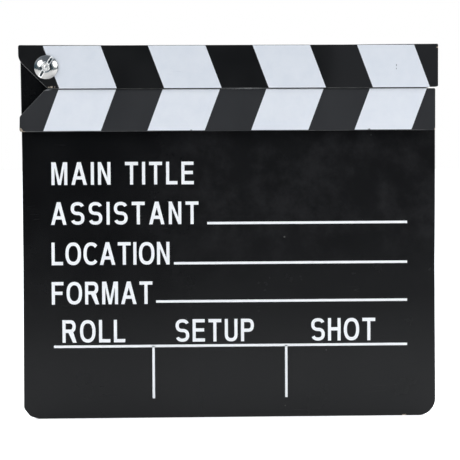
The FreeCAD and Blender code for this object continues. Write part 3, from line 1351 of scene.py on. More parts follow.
    def letter_p(self) -> Glyph:
        """Draws a P.

        Returns:
            The letter.
        """
        width, foot = 6.3, 4.6
        edge, counter = self.bowl(width, foot, -90)
        stem = [(0, self.cap), (0, 0), (self.stem, 0), (self.stem, foot)]
        return Glyph(width, [stem + edge, counter])

    def letter_r(self) -> Glyph:
        """Draws an R.

        Returns:
            The letter.
        """
        width, bowl_width, foot, leg, knee = 6.8, 6.4, 4.8, 1.75, 2.9
        edge, counter = self.bowl(bowl_width, foot, -60)
        stem = [(0, self.cap), (0, 0), (self.stem, 0), (self.stem, foot)]
        return Glyph(width, [[*stem, (knee, foot), (width - leg, 0), (width, 0), *edge], counter])

    def letter_s(self) -> Glyph:
        """Draws an S.

        Returns:
            The letter.
        """
        width, opening, stroke = 6.6, 22, (self.stem + self.bar) / 2
        radii = ((width - stroke) / 2, (self.cap - stroke) / 4)
        top = self.arc((width / 2, self.cap - stroke / 2 - radii[1]), radii, opening, 270)
        bottom = self.arc((width / 2, stroke / 2 + radii[1]), radii, 90, opening - 180)
        return Glyph(width, [self.stroke(top + bottom[1:], stroke)])

    def letter_t(self) -> Glyph:
        """Draws a T.

        Returns:
            The letter.
        """
        width = 6.3
        stem = (width - self.stem) / 2
        left = [(0, self.cap), (0, self.under), (stem, self.under), (stem, 0)]
        return Glyph(width, [mirrored(left, width)])

    def letter_u(self) -> Glyph:
        """Draws a U.

        Returns:
            The letter.
        """
        width, bend = 6.2, 3.4
        outer, inner = self.band((width / 2, bend), 180, 360)
        right = [(width, self.cap), (width - self.stem, self.cap)]
        return Glyph(width, [[(0, self.cap), *outer, *right, *inner, (self.stem, self.cap)]])

    def glyph(self, letter: str) -> Glyph:
        """Looks a letter up.

        Args:
            letter: a capital letter, or a space.

        Returns:
            Its glyph.
        """
        if letter == " ":
            return Glyph(self.space, [])
        return getattr(self, f"letter_{letter.lower()}")()


@dataclass(frozen=True)
class Label:
    """A printed word on the slate: where it starts and ends, and where its feet are, in millimetres."""

    word: str
    left: float
    right: float
    feet: float

    def outlines(self, alphabet: Alphabet) -> list[list[Point]]:
        """Sets the word, with the gap between letters that fills its place.

        Args:
            alphabet: the letters.

        Returns:
            Every closed outline, in millimetres.
        """
        glyphs = [alphabet.glyph(letter) for letter in self.word]
        inked = sum(glyph.width for glyph in glyphs)
        gap = (self.right - self.left - inked) / (len(glyphs) - 1)
        outlines = []
        x = self.left
        for glyph in glyphs:
            outlines += [[(x + across, self.feet + up) for across, up in edge] for edge in glyph.outlines]
            x += glyph.width + gap
        return outlines


@dataclass
class Slate:
    """The painted board with its ear, and what is printed on it.

    The corner cut, the lines' places and the chip's size are in millimetres.
    """

    finishes: Finishes
    pivot: Vector
    flare: float = 0.45 * MM
    top_flare: float = 0.18 * MM
    waist: Span = (75.0 * MM, 128.0 * MM)
    shoulder: float = 105.0 * MM
    waist_radius: float = 1.0
    left_cut: tuple[Point, ...] = ((0.0, 5.2), (3.1, 1.25), (7.0, 0.0))
    left_radius: float = 3.0 * MM
    right_radius: float = 8.3 * MM
    top_radius: float = 0.6 * MM
    ear_radius: float = 7.0 * MM
    ear_root: float = 3.0 * MM
    edge_roll: float = 0.34 * MM
    hole_radius: float = 2.65 * MM
    chip_place: float = 85.2 * MM
    chip_size: Triple = (1.1, 0.6, 0.75)
    chip_seed: float = 7.3
    arc_steps: int = 12
    side_pitch: float = 2.5 * MM
    line_width: float = 1.2 * MM
    ink_wobble: float = 0.05 * MM
    line_cells: tuple[int, int] = (120, 3)
    row_lines: tuple[Point, ...] = ((-10.8, 94.8), (-27.1, 75.4), (-35.9, 56.85))
    table_line: Point = (-85.6, 35.15)
    table_columns: tuple[float, ...] = (-37.3, 27.35)
    labels: tuple[Label, ...] = (
        Label("MAIN TITLE", -86.0, -17.2, 113.7),
        Label("ASSISTANT", -86.4, -15.0, 94.4),
        Label("LOCATION", -86.3, -29.2, 74.85),
        Label("FORMAT", -86.4, -37.6, 55.7),
        Label("ROLL", -81.4, -51.0, 37.1),
        Label("SETUP", -26.5, 11.6, 37.1),
        Label("SHOT", 39.6, 70.9, 37.1),
    )

    def build(self, ink_bars: NodeTree) -> None:
        """Makes the board and its print.

        Args:
            ink_bars: the tree that makes bars of ink.
        """
        self.build_board()
        self.build_labels()
        self.build_lines(ink_bars)

    def outline(self) -> list[Vector]:
        """Draws the board, a hair wider at its corners, with an ear that is even about the pivot.

        Returns:
            The outline's points.
        """
        low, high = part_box("slate_board")
        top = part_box("lower_stick")[1].z
        left = low.x - self.flare
        right = high.x + self.top_flare
        ear_right = 2 * self.pivot.x - low.x
        waist_low, waist_high = self.waist
        corners = [
            *(Corner(left + x * MM, low.z + z * MM, self.left_radius) for x, z in self.left_cut),
            Corner(high.x + self.flare, low.z, self.right_radius),
            Corner(high.x, waist_low, self.waist_radius),
            Corner(right, self.shoulder, self.waist_radius),
            Corner(right, top, self.top_radius),
            Corner(ear_right, top, self.ear_root),
            Corner(ear_right, high.z, self.ear_radius),
            Corner(left, high.z, self.ear_radius),
            Corner(low.x, waist_high, self.waist_radius),
            Corner(low.x, waist_low, self.waist_radius),
        ]
        return rounded_outline(corners, self.arc_steps, self.side_pitch)

    def build_board(self) -> None:
        """Makes the board with its pivot hole and a chip on its bottom edge."""
        low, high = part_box("slate_board")
        board = RolledBoard(self.outline(), low.y, high.y, self.edge_roll)
        chip = Chip(Vector((self.chip_place, low.y, low.z)), mm(*self.chip_size), self.chip_seed)
        cuts = [PivotHole(self.pivot, self.hole_radius), chip]
        mesh = carved_mesh(board.mesh("slate"), self.finishes.slate, self.finishes.raw_fibre, cuts)
        add_piece("painted_slate", mesh, Body.SLATE, stands_for="slate_board")

    def build_labels(self) -> None:
        """Prints the words over the writing lines."""
        low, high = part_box("slate_lines")
        curve = bpy.data.curves.new("labels", "CURVE")
        curve.dimensions = "2D"
        curve.fill_mode = "BOTH"
        curve.extrude = (high.y - low.y) / 2
        alphabet = Alphabet()
        for label in self.labels:
            for outline in label.outlines(alphabet):
                spline = curve.splines.new("POLY")
                spline.points.add(len(outline) - 1)
                for point, (x, z) in zip(spline.points, outline):
                    point.co = (x * MM, z * MM, 0, 1)
                spline.use_cyclic_u = True
        mesh = baked_mesh(new_object("labels", curve))
        stand = Matrix.Rotation(math.pi / 2, 4, "X")
        mesh.transform(Matrix.Translation((0, (low.y + high.y) / 2, 0)) @ stand)
        add_piece("printed_labels", mesh, Body.SLATE, self.finishes.slate_ink)

    def bars(self) -> list[tuple[Vector, Vector]]:
        """Places the writing lines and the table, a little thinner than in the solids.

        Returns:
            The lowest and the highest corner of each line.
        """
        low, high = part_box("slate_lines")
        half = self.line_width / 2
        bars = []
        for left, level in (*self.row_lines, self.table_line):
            start = Vector((left * MM, low.y, level * MM - half))
            bars.append((start, Vector((high.x, high.y, level * MM + half))))
        for column in self.table_columns:
            start = Vector((column * MM - half, low.y, low.z))
            bars.append((start, Vector((column * MM + half, high.y, self.table_line[1] * MM))))
        return bars

    def build_lines(self, ink_bars: NodeTree) -> None:
        """Prints the writing lines and the table.

        Args:
            ink_bars: the tree that makes bars of ink.
        """
        lines = bmesh.new()
        for start, end in self.bars():
            size = end - start
            columns, rows = self.line_cells if size.x > size.z else self.line_cells[::-1]
            bar = {"Columns": columns, "Rows": rows, "Count": 1, "Wobble": self.ink_wobble}
            lines.from_mesh(grown_mesh(ink_bars, First=(start + end) / 2, Size=size, **bar))
        mesh = mesh_from("lines", lines)
        ink = self.finishes.slate_ink
        add_piece("printed_lines", mesh, Body.SLATE, ink, stands_for="slate_lines")


def ink_bars_tree() -> NodeTree:
    """Builds a row of leaning bars of ink, with uneven edges, and a hole where the pivot goes through.

    Returns:
        The geometry tree.
    """
    counts = Plug.COUNT.named("Columns", "Rows", "Count")
    vectors = Plug.VECTOR.named("First", "Pitch", "Size", "Hole")
    tree = ShapeTree("ink_bars", counts | vectors | Plug.NUMBER.named("Lean", "Wobble", "Hole Radius"))
    given = tree.given
    place = tree.shape("InputPosition")
    cells = {"Vertices_X": given["Columns"], "Vertices_Y": 2, "Vertices_Z": given["Rows"]}
    panel = tree.shape("MeshCube", Size=given["Size"], **cells)
    lean = tree.math("MULTIPLY", tree.axes(place)["Z"], given["Lean"])
    aside = tree.node("ShaderNodeCombineXYZ", {"X": lean}).outputs[0]
    leaning = tree.shape("SetPosition", Geometry=panel, Offset=aside)
    line = {"Start_Location": given["First"], "Offset": given["Pitch"]}
    spots = tree.shape("MeshLine", Count=given["Count"], **line)
    row = tree.shape("InstanceOnPoints", Points=spots, Instance=leaning)
    real = tree.shape("RealizeInstances", Geometry=row)
    ripple = tree.node("ShaderNodeTexNoise", {"Vector": place, "Scale": 900.0, "Detail": 2.0})
    centred = tree.vector("SUBTRACT", ripple.outputs["Color"], (0.5, 0.5, 0.5))
    flat = tree.vector("MULTIPLY", centred, (1.0, 0.0, 1.0))
    inked = tree.shape("SetPosition", Geometry=real, Offset=tree.vector("MULTIPLY", flat, given["Wobble"]))
    drill = tree.shape("MeshCylinder", Vertices=64, Radius=given["Hole Radius"], Depth=20.0 * MM)
    turn = (math.pi / 2, 0, 0)
    level = tree.shape("Transform", Geometry=drill, Translation=given["Hole"], Rotation=turn)
    holed = tree.node("GeometryNodeMeshBoolean", {"Mesh 1": inked, "Mesh 2": level}, operation="DIFFERENCE")
    return tree.close_on(holed.outputs[0])


@dataclass
class Stick:
    """One striped stick, cut off at 45 degrees at the pivot so that the two open like jaws."""

    name: str
    side: Side
    body: Body
    slot: Slot
    paint: Material
    ink: Material
    bare: Material
    pivot: Vector
    chamfer: float
    chamfer_rise: float
    nose_radius: float
    first_stripe: float
    stripe_pitch: float
    tip_wear: float
    heel_radius: float
    cuts: list[Chip | PivotHole]
    heel_flare: float = 0.0
    back_lift: float = 0.0
    ink_margin: float = 0.0
    nose_lift: float = 0.15 * MM
    bend: float = 45.0 * MM
    bend_radius: float = 1000.0 * MM
    tip_length: float = 5.0 * MM
    tip_ramp: float = 1.6 * MM
    tip_radius: float = 1.5 * MM
    edge_roll: float = 0.14 * MM
    end_radius: float = 0.6 * MM
    back_radius: float = 0.9 * MM
    arc_steps: int = 8
    side_pitch: float = 2.0 * MM
    stripe_count: int = 4
    stripe_cells: tuple[int, int] = (57, 41)
    stripe_width: float = 27.5 * MM
    stripe_lean: float = math.tan(math.radians(20.6))
    ink_wobble: float = 0.06 * MM
    ink_hole: float = 2.6 * MM

    @classmethod
    def lower(cls, finishes: Finishes, pivot: Vector) -> "Stick":
        """Describes the fixed stick.

        Args:
            finishes: the board's materials.
            pivot: where the sticks open.

        Returns:
            The stick.
        """
        low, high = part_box("lower_stick")
        tip = Vector((high.x, low.y, low.z))
        return cls(
            "lower",
            Side.BELOW,
            Body.SLATE,
            Slot.LOWER_PAINT,
            finishes.lower_stick,
            finishes.lower_ink,
            finishes.raw_fibre,
            pivot,
            chamfer=12.55 * MM,
            chamfer_rise=12.95 * MM,
            nose_radius=3.5 * MM,
            first_stripe=14.95 * MM,
            stripe_pitch=49.82 * MM,
            tip_wear=0.15 * MM,
            heel_radius=1.4 * MM,
            heel_flare=0.2 * MM,
            ink_margin=0.1 * MM,
            cuts=[
                Chip(low + mm(0.35, 0.0, 0.5), size=mm(0.9, 0.7, 1.2), seed=3.1),
                Chip(low + mm(1.9, 0.0, 0.0), size=mm(0.9, 0.3, 0.25), seed=8.4),
                Chip(tip + mm(0.05, 0.0, 0.45), size=mm(0.5, 0.4, 0.6), seed=4.3),
            ],
        )

    @classmethod
    def upper(cls, finishes: Finishes, pivot: Vector) -> "Stick":
        """Describes the clapper.

        Args:
            finishes: the board's materials.
            pivot: where the sticks open.

        Returns:
            The stick.
        """
        low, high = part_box("upper_stick")
        tip = Vector((high.x, low.y, high.z))
        return cls(
            "upper",
            Side.ABOVE,
            Body.CLAPPER,
            Slot.UPPER_PAINT,
            finishes.upper_stick,
            finishes.upper_ink,
            finishes.raw_fibre,
            pivot,
            chamfer=13.85 * MM,
            chamfer_rise=13.85 * MM,
            nose_radius=2.0 * MM,
            first_stripe=15.6 * MM,
            stripe_pitch=50.12 * MM,
            tip_wear=0.5 * MM,
            heel_radius=6.5 * MM,
            back_lift=0.25 * MM,
            cuts=[
                PivotHole(pivot, radius=2.58 * MM),
                Chip(low + mm(14.5, 0.0, 0.8), size=mm(0.45, 0.15, 0.24), seed=2.6),
                Chip(low + mm(15.75, 0.0, 0.9), size=mm(0.6, 0.11, 0.5), seed=1.7),
                Chip(low + mm(17.3, 0.0, 0.9), size=mm(0.24, 0.15, 0.3), seed=5.2),
                Chip(tip + mm(-0.3, 0.0, -1.4), size=mm(0.62, 0.3, 0.42), seed=6.6),
            ],
        )

    def build(self, ink_bars: NodeTree) -> None:
        """Makes the stick and its stripes.

        Args:
            ink_bars: the tree that makes the stripes.
        """
        node = f"{self.name}_stick"
        low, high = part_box(node)
        board = RolledBoard(self.outline(), low.y, high.y, self.edge_roll)
        mesh = carved_mesh(board.mesh(self.name), self.paint, self.bare, self.cuts)
        add_piece(f"painted_{node}", mesh, self.body, stands_for=node)
        self.build_stripes(ink_bars)

    def outline(self) -> list[Vector]:
        """Draws the stick.

        Returns:
            The outline's points.
        """
        low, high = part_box(f"{self.name}_stick")
        clap, back = (low.z, high.z) if self.side is Side.ABOVE else (high.z, low.z)
        worn = clap + self.side.value * self.tip_wear
        knees = [
            Corner(high.x - self.bend, back, self.bend_radius),
            Corner(low.x + self.bend, back, self.bend_radius),
        ]
        corners = [
            Corner(low.x + self.chamfer, clap + self.nose_lift, self.nose_radius),
            Corner(low.x + self.bend, clap, self.bend_radius),
            Corner(high.x - self.tip_length, clap, self.tip_radius),
            Corner(high.x - self.tip_length + self.tip_ramp, worn, self.tip_radius),
            Corner(high.x, worn, self.end_radius),
            Corner(high.x, back + self.back_lift, self.end_radius),
            *(knees if self.back_lift else ()),
            Corner(low.x - self.heel_flare, back + self.back_lift, self.back_radius),
            Corner(low.x, clap + self.side.value * self.chamfer_rise, self.heel_radius),
        ]
        if self.side is Side.BELOW:
            corners.reverse()
        return rounded_outline(corners, self.arc_steps, self.side_pitch)

    def build_stripes(self, ink_bars: NodeTree) -> None:
        """Prints the stripes on the flat of the stick's face.

        Args:
            ink_bars: the tree that makes the stripes.
        """
        node = f"{self.name}_stripes"
        low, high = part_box(node)
        low.z += self.ink_margin
        middle = (low + high) / 2
        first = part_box(f"{self.name}_stick")[0].x + self.first_stripe + self.stripe_width / 2
        columns, rows = self.stripe_cells
        mesh = grown_mesh(
            ink_bars,
            Columns=columns,
            Rows=rows,
            Count=self.stripe_count,
            First=Vector((first, middle.y, middle.z)),
            Pitch=Vector((self.stripe_pitch, 0, 0)),
            Size=Vector((self.stripe_width, high.y - low.y, high.z - low.z)),
            Lean=-self.side.value * self.stripe_lean,
            Wobble=self.ink_wobble,
            Hole=self.pivot,
            Hole_Radius=self.ink_hole,
            Material=self.ink,
        )
        add_piece(f"printed_{node}", mesh, self.body, stands_for=node)


def turned_mesh(name: str, radii: np.ndarray, depths: np.ndarray, pivot: Vector, closed: bool) -> Mesh:
    """Skins a stack of rings round the pivot's axis.

    Args:
        name: the mesh's name.
        radii: a row for each ring and a column for each step round it, anticlockwise from the right.
        depths: how far back each of those points lies.
        pivot: where the axis is.
        closed: whether the last ring joins the first, as on a washer.

    Returns:
        The mesh, with smooth faces.
    """
    count = radii.shape[1]
    angles = np.arange(count) * 2 * math.pi / count
    places = [pivot.x + radii * np.cos(angles), depths, pivot.z + radii * np.sin(angles)]
    mesh = skinned_mesh(name, np.stack(places, axis=-1), closed)
    smooth(mesh)
    return mesh


def thread_tree() -> NodeTree:
    """Builds a threaded stud round the Y axis by a rule for its radius.

    Returns:
        The geometry tree.
    """
    lengths = Plug.NUMBER.named("Length", "Major Radius", "Core Radius", "Thread Pitch", "Tip Radius")
    tree = ShapeTree("screw_thread", lengths | Plug.VECTOR.named("Middle"))
    given = tree.given
    major, core, length = given["Major Radius"], given["Core Radius"], given["Length"]
    stud = tree.shape("MeshCylinder", Vertices=72, Side_Segments=96, Radius=major, Depth=length)
    place = tree.shape("InputPosition")
    axes = tree.axes(place)
    angle = tree.math("DIVIDE", tree.math("ARCTAN2", axes["Y"], axes["X"]), 2 * math.pi)
    climb = tree.math("DIVIDE", axes["Z"], given["Thread Pitch"])
    phase = tree.math("FRACT", tree.math("ADD", climb, angle))
    slope = tree.math("PINGPONG", tree.math("MULTIPLY", phase, 2.0), 1.0)
    height = tree.math("SUBTRACT", major, core)
    cut = tree.math("MULTIPLY_ADD", tree.remap(slope, (0.18, 0.82)), height, core)
    to_tip = tree.math("SUBTRACT", tree.math("MULTIPLY", length, 0.5), axes["Z"])
    radius = tree.math("MINIMUM", cut, tree.math("ADD", to_tip, given["Tip Radius"]))
    share = tree.math("DIVIDE", radius, major)
    scale = tree.node("ShaderNodeCombineXYZ", {"X": share, "Y": share, "Z": 1.0}).outputs[0]
    threaded = tree.shape("SetPosition", Geometry=stud, Position=tree.vector("MULTIPLY", place, scale))
    turn = (-math.pi / 2, 0, 0)
    return tree.close_on(
        tree.shape("Transform", Geometry=threaded, Translation=given["Middle"], Rotation=turn)
    )


@dataclass
class PivotHardware:
    """The zinc-plated screw with a combined drive, its washers and its nut."""

    finishes: Finishes
    pivot: Vector
    slot_turn: float = SLOT_TURN
    head_radius: float = 5.8 * MM
    head_height: float = 2.9 * MM
    head_rim: float = 0.4 * MM
    rim_round: float = 0.12 * MM
    rim_soft: float = 0.072 * MM
    innermost: float = 0.01
    slot_width: float = 1.4 * MM
    slot_depth: float = 2.0 * MM
    slot_flank: float = 0.26 * MM
    flank_slope: float = math.tan(math.radians(30.0))
    cross_span: float = 5.0 * MM
    cross_wing: float = 1.5 * MM
    cross_depth: float = 1.5 * MM
    cross_taper: float = 0.2
    pit_radius: float = 1.5 * MM
    pit_depth: float = 1.3 * MM
    boss_height: float = 0.6 * MM
    stamped_round: float = 0.09 * MM
    shank_radius: float = 2.5 * MM
    core_radius: float = 2.07 * MM
    thread_pitch: float = 0.8 * MM
    tip_radius: float = 1.9 * MM
    thread_start: float = 1.0 * MM
    washer_radius: float = 5.0 * MM
    washer_bore: float = 2.65 * MM
    washer_round: float = 0.18 * MM
    spring_radius: float = 4.4 * MM
    spring_slit: float = 0.8 * MM
    spring_lean: float = math.tan(math.radians(30.0))
    spring_round: float = 0.12 * MM
    nut_flat: float = 4.0 * MM
    nut_face: float = 3.94 * MM
    nut_edge: float = 0.05 * MM
    nut_chamfer: float = math.tan(math.radians(30.0))
    nut_turn: float = math.radians(12.0)
    nut_bore: float = 2.55 * MM
    nut_mouth: float = 0.4 * MM
    nut_sharpness: float = 60.0
    head_segments: int = 288
    head_rings: int = 72
    washer_segments: int = 96
    spring_steps: int = 96
    nut_segments: int = 144

    def build(self) -> None:
        """Makes every piece on the pivot."""
        self.build_screw()
        self.build_thread()
        self.build_washer("spacer_washer")
        self.build_washer("back_washer")
        self.build_spring_washer()
        self.build_nut()

    def wing_depth(self, along: np.ndarray, across: np.ndarray) -> np.ndarray:
        """Gives the depth of one pair of the cross's wings.

        Args:
            along: how far each point is along the wings.
            across: how far each point is across them.

        Returns:
            How deep the wings are there.
        """
        end = 1 - np.abs(along) * 2 / self.cross_span
        flank = 1 - np.abs(across) * 2 / self.cross_wing
        return self.cross_depth * np.clip(np.minimum(end, flank) / (1 - self.cross_taper), 0, 1)

    def head_depth(self, across: np.ndarray, along: np.ndarray) -> np.ndarray:
        """Gives the head's surface with its slot and cross, before its edges are softened.

        Args:
            across: how far each point is from the slot's middle line.
            along: how far each point is along the slot.

        Returns:
            How far each point lies behind the screw's seat.
        """
        rise = self.head_height - self.head_rim
        dome = (self.head_radius**2 + rise**2) / (2 * rise)
        round_part = np.sqrt(np.maximum(dome**2 - across**2 - along**2, 0)) - (dome - rise)
        reach = np.hypot(across, along)
        beside = np.abs(across) - self.slot_width / 2 + self.slot_flank
        flank = np.clip(self.slot_flank - beside, 0, self.slot_flank) * self.flank_slope
        slot = np.where((beside < 0) & (reach > self.cross_span / 2), self.slot_depth, 0.0)
        cross = np.maximum(self.wing_depth(along, across), self.wing_depth(across, along))
        pit = self.pit_depth - self.boss_height * (1 - (reach / self.pit_radius) ** 2)
        recess = np.where(reach < self.pit_radius, pit, np.maximum(slot, cross))
        return np.maximum(flank - self.head_rim - round_part, recess - self.head_height)

    def stamped_depth(self, across: np.ndarray, along: np.ndarray) -> np.ndarray:
        """Softens the head's edges by averaging its surface over a small disc.

        Args:
            across: how far each point is from the slot's middle line.
            along: how far each point is along the slot.

        Returns:
            How far each point lies behind the screw's seat.
        """
        taps = [(0.0, 0.0)]
        for reach in (self.stamped_round / 2, self.stamped_round):
            angles = [k * math.pi / 4 for k in range(8)]
            taps += [(reach * math.cos(angle), reach * math.sin(angle)) for angle in angles]
        return sum(self.head_depth(across + u, along + v) for u, v in taps) / len(taps)

    def build_screw(self) -> None:
        """Makes the screw: domed head, rim and the shank down into the nut."""
        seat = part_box("pivot_screw")[0].y + self.head_height
        shank_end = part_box("hex_nut")[1].y - self.thread_start
        angles = np.arange(self.head_segments) * 2 * math.pi / self.head_segments - self.slot_turn
        shares = np.linspace(self.innermost, 1.0, self.head_rings)[:, None]
        radii = shares * (self.head_radius - self.rim_round) * np.ones_like(angles)
        depths = self.stamped_depth(radii * np.sin(angles), radii * np.cos(angles)) + seat
        soft = self.rim_soft
        rim = [
            (self.head_radius - soft / 2, seat - self.head_rim),
            (self.head_radius, seat - self.head_rim + self.rim_round),
            (self.head_radius, seat - soft),
            (self.head_radius - soft, seat),
            (self.shank_radius, seat),
            (self.shank_radius, shank_end),
        ]
        rest = np.array(rim)[:, :, None] * np.ones(self.head_segments)
        radii = np.concatenate([radii, rest[:, 0]])
        depths = np.concatenate([depths, rest[:, 1]])
        mesh = turned_mesh("screw", radii, depths, self.pivot, closed=False)
        zinc = self.finishes.stamped_zinc
        add_piece("domed_pivot_screw", mesh, Body.SLATE, zinc, stands_for="pivot_screw")

    def build_thread(self) -> None:
        """Makes the threaded end that stands out of the nut."""
        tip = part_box("pivot_screw")[1].y
        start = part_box("hex_nut")[1].y - self.thread_start
        mesh = grown_mesh(
            thread_tree(),
            Length=tip - start,
            Major_Radius=self.shank_radius,
            Core_Radius=self.core_radius,
            Thread_Pitch=self.thread_pitch,
            Tip_Radius=self.tip_radius,
            Middle=Vector((self.pivot.x, (start + tip) / 2, self.pivot.z)),
            Material=self.finishes.zinc,
        )
        smooth(mesh)
        add_piece("screw_thread", mesh, Body.SLATE)

    def build_washer(self, node: str) -> None:
        """Makes a stamped flat washer, rounded where the punch went in.

        Args:
            node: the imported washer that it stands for.
        """
        low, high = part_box(node)
        inner, outer, soft = self.washer_bore, self.washer_radius, self.washer_round
        burr = 0.4 * soft
        shoulder = 0.3 * soft
        section = [
            (inner, low.y + burr),
            (inner + burr, low.y),
            (outer - burr, low.y),
            (outer, low.y + burr),
            (outer, high.y - soft),
            (outer - shoulder, high.y - shoulder),
            (outer - soft, high.y),
            (inner + soft, high.y),
            (inner + shoulder, high.y - shoulder),
            (inner, high.y - soft),
        ]
        rings = np.array(section)[:, :, None] * np.ones(self.washer_segments)
        mesh = turned_mesh(node, rings[:, 0], rings[:, 1], self.pivot, closed=True)
        add_piece(f"zinc_{node}", mesh, Body.SLATE, self.finishes.zinc, stands_for=node)

    def build_spring_washer(self) -> None:
        """Makes the split washer: a wire of nearly square section, with ends that lean past each other."""
        low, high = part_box("spring_washer")
        inner, outer, soft = self.washer_bore, self.spring_radius, self.spring_round
        section = [
            (inner + soft, low.y), (outer - soft, low.y), (outer, low.y + soft), (outer, high.y - soft),
            (outer - soft, high.y), (inner + soft, high.y), (inner, high.y - soft), (inner, low.y + soft),
        ]
        middle = (inner + outer) / 2
        half_slit = self.spring_slit / 2 / middle
        rings = []
        for k in range(self.spring_steps + 1):
            turn = math.pi / 2 + half_slit + (2 * math.pi - 2 * half_slit) * k / self.spring_steps
            ring = []
            for radius, y in section:
                angle = turn - self.spring_lean * (y - (low.y + high.y) / 2) / middle
                across, up = radius * math.cos(angle), radius * math.sin(angle)
                ring.append((self.pivot.x + across, y, self.pivot.z + up))
            rings.append(ring)
        wire = bmesh.new()
        wire.from_mesh(skinned_mesh("wire", rings))
        bmesh.ops.recalc_face_normals(wire, faces=wire.faces)
        mesh = mesh_from("spring", wire)
        smooth(mesh, WIRE_EDGE)
        zinc = self.finishes.zinc
        add_piece("split_spring_washer", mesh, Body.SLATE, zinc, stands_for="spring_washer")

    def build_nut(self) -> None:
        """Makes the hexagon nut, chamfered on both faces, with softened corners."""
        low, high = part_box("hex_nut")
        angles = np.arange(self.nut_segments) * 2 * math.pi / self.nut_segments - self.nut_turn
        flats = [np.maximum(np.cos(angles - math.pi / 6 - k * math.pi / 3), 0) for k in range(6)]
        power = self.nut_sharpness
        hexagon = self.nut_flat * sum(flat**power for flat in flats) ** (-1 / power)
        drop = np.maximum(hexagon - self.nut_flat, 0) * self.nut_chamfer + self.nut_edge
        ones = np.ones(self.nut_segments)
        bore = self.nut_bore * ones
        mouth = (self.nut_bore + self.nut_mouth) * ones
        face = self.nut_face * ones
        radii = [bore, mouth, face, hexagon, hexagon, face, mouth, bore]
        front = [self.nut_mouth * ones, 0 * ones, 0 * ones, drop]
        depths = [low.y + depth for depth in front] + [high.y - depth for depth in reversed(front)]
        mesh = turned_mesh("nut", np.stack(radii), np.stack(depths), self.pivot, closed=True)
        zinc = self.finishes.zinc
        add_piece("chamfered_hex_nut", mesh, Body.SLATE, zinc, stands_for="hex_nut")


@dataclass(frozen=True)
class SoftBox:
    """An oval softbox that the camera doesn't see."""

    name: str
    place: Vector
    aim: Vector
    size: Point
    power: float

    def build(self) -> None:
        """Hangs the light."""
        light = bpy.data.lights.new(self.name, "AREA")
        light.shape = "ELLIPSE"
        light.size, light.size_y = self.size
        light.energy = self.power
        lamp = new_object(self.name, light)
        lamp.location = self.place
        lamp.rotation_euler = (self.aim - self.place).to_track_quat("-Z", "Y").to_euler()
        lamp.visible_camera = False


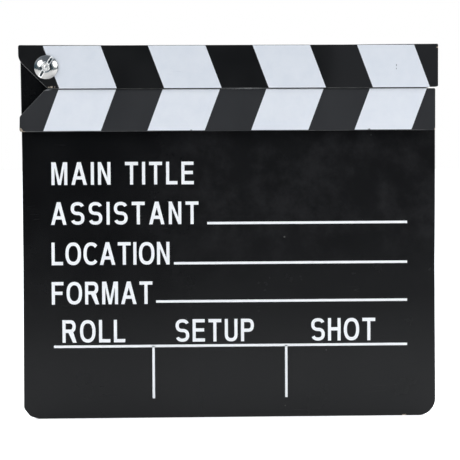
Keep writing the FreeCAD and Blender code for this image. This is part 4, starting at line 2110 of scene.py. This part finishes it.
@dataclass
class Studio:
    """A pale floor, soft light and the camera."""

    pivot: Vector
    floor_radius: float = 6.0
    floor_front: float = -0.4
    floor_drop: float = 0.1 * MM
    floor_tones: Span = (0.9, 0.94)
    floor_glow: float = 0.35
    floor_flare: float = 0.3
    left_way: Triple = (-0.68, -0.59, 0.43)
    right_way: Triple = (0.86, -0.39, 0.33)
    box_reach: float = 0.9
    box_size: Point = (0.55, 0.65)
    box_power: float = 3.6
    top_place: Triple = (0.0, 0.7, 1.1)
    top_size: Point = (1.0, 1.0)
    top_power: float = 3.0
    azimuth: float = math.radians(-1.667)
    elevation: float = math.radians(2.682)
    roll: float = math.radians(-0.299)
    distance: float = 0.8
    lens: float = 128.70
    sensor: float = 36.0
    view_end: float = 50.0
    target: Vector = Vector((0.262 * MM, 0.0, 91.326 * MM))

    def build(self) -> None:
        """Sets the stage."""
        self.build_floor()
        self.build_world()
        self.build_lights()
        self.build_camera()
        bpy.context.scene.view_settings.view_transform = "Standard"

    def build_floor(self) -> None:
        """Lays a large round floor of plain pale paint, most of it behind the board."""
        disc = bmesh.new()
        bmesh.ops.create_circle(disc, cap_ends=True, segments=96, radius=self.floor_radius)
        middle = Vector((0, self.floor_front + self.floor_radius, -self.floor_drop))
        bmesh.ops.translate(disc, verts=disc.verts, vec=middle)
        mesh = mesh_from("floor", disc)
        surface = Surface("pale_floor")
        cloud = surface.noise(surface.place(), scale=3.0, detail=4.0, roughness=0.5)
        seen = surface.node("ShaderNodeLightPath").outputs["Is Camera Ray"]
        surface.set(
            Base_Color=surface.mix(cloud, *((tone, tone, tone) for tone in self.floor_tones)),
            Roughness=0.55,
            Emission_Color=(1.0, 1.0, 1.0),
            Emission_Strength=surface.math("MULTIPLY_ADD", seen, self.floor_flare, self.floor_glow),
        )
        mesh.materials.append(surface.material)
        new_object("floor", mesh)

    def build_world(self) -> None:
        """Makes the room: white to the camera, and for other light dim in front and dark at eye level."""
        world = bpy.data.worlds.new("studio")
        bpy.context.scene.world = world
        world.use_nodes = True
        world.node_tree.nodes.clear()
        room = Graph(world.node_tree)
        white = (1.0, 1.0, 1.0)
        high_blue = (0.72, 0.85, 1.0)
        low_blue = (0.35, 0.75, 1.0)
        way = room.axes(room.node("ShaderNodeTexCoord").outputs["Generated"])
        above = room.remap(way["Z"], (0.1, 0.5))
        behind = room.remap(way["Y"], (-0.1, 0.5), (0.26, 1.6))
        beside = room.remap(room.math("ABSOLUTE", way["X"]), (0.3, 0.8), (0.02, 0.15))
        glow = room.math("MULTIPLY_ADD", above, behind, beside)
        high_hue = room.mix(room.remap(way["Y"], (-0.1, 0.5)), high_blue, white)
        hue = room.mix(above, low_blue, high_hue)
        dim = room.node("ShaderNodeBackground", {"Color": hue, "Strength": glow})
        bright = room.node("ShaderNodeBackground", {"Color": white, "Strength": 1.0})
        seen = room.node("ShaderNodeLightPath").outputs["Is Camera Ray"]
        both = room.node("ShaderNodeMixShader", {0: seen, 1: dim.outputs[0], 2: bright.outputs[0]})
        room.node("ShaderNodeOutputWorld", {"Surface": both.outputs[0]})

    def build_lights(self) -> None:
        """Hangs two softboxes beside the camera and a large one overhead."""
        for name, way in (("left_box", self.left_way), ("right_box", self.right_way)):
            place = self.pivot + Vector(way) * self.box_reach
            SoftBox(name, place, self.target, self.box_size, self.box_power).build()
        SoftBox("top_box", Vector(self.top_place), Vector(), self.top_size, self.top_power).build()

    def build_camera(self) -> None:
        """Stands the camera where the photograph was taken from."""
        level = math.cos(self.elevation)
        back = Vector(
            (math.sin(self.azimuth) * level, -math.cos(self.azimuth) * level, math.sin(self.elevation))
        )
        right = Vector((0, 0, 1)).cross(back).normalized()
        up = back.cross(right)
        turned_right = right * math.cos(self.roll) + up * math.sin(self.roll)
        turned_up = up * math.cos(self.roll) - right * math.sin(self.roll)
        data = bpy.data.cameras.new("camera")
        data.lens = self.lens
        data.sensor_width = self.sensor
        data.clip_end = self.view_end
        camera = new_object("camera", data)
        turn = Matrix((turned_right, turned_up, back)).transposed().to_4x4()
        camera.matrix_world = Matrix.Translation(self.target + back * self.distance) @ turn
        bpy.context.scene.camera = camera


def main() -> None:
    """Builds the clapperboard and its studio."""
    logging.basicConfig(level=logging.INFO, format="%(message)s")
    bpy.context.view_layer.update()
    pivot = Vector(frame["joints"][0]["pos_m"])
    finishes = Finishes.make(pivot)
    ink_bars = ink_bars_tree()
    Slate(finishes, pivot).build(ink_bars)
    Stick.lower(finishes, pivot).build(ink_bars)
    Stick.upper(finishes, pivot).build(ink_bars)
    PivotHardware(finishes, pivot).build()
    Studio(pivot).build()


if __name__ == "__main__":
    main()
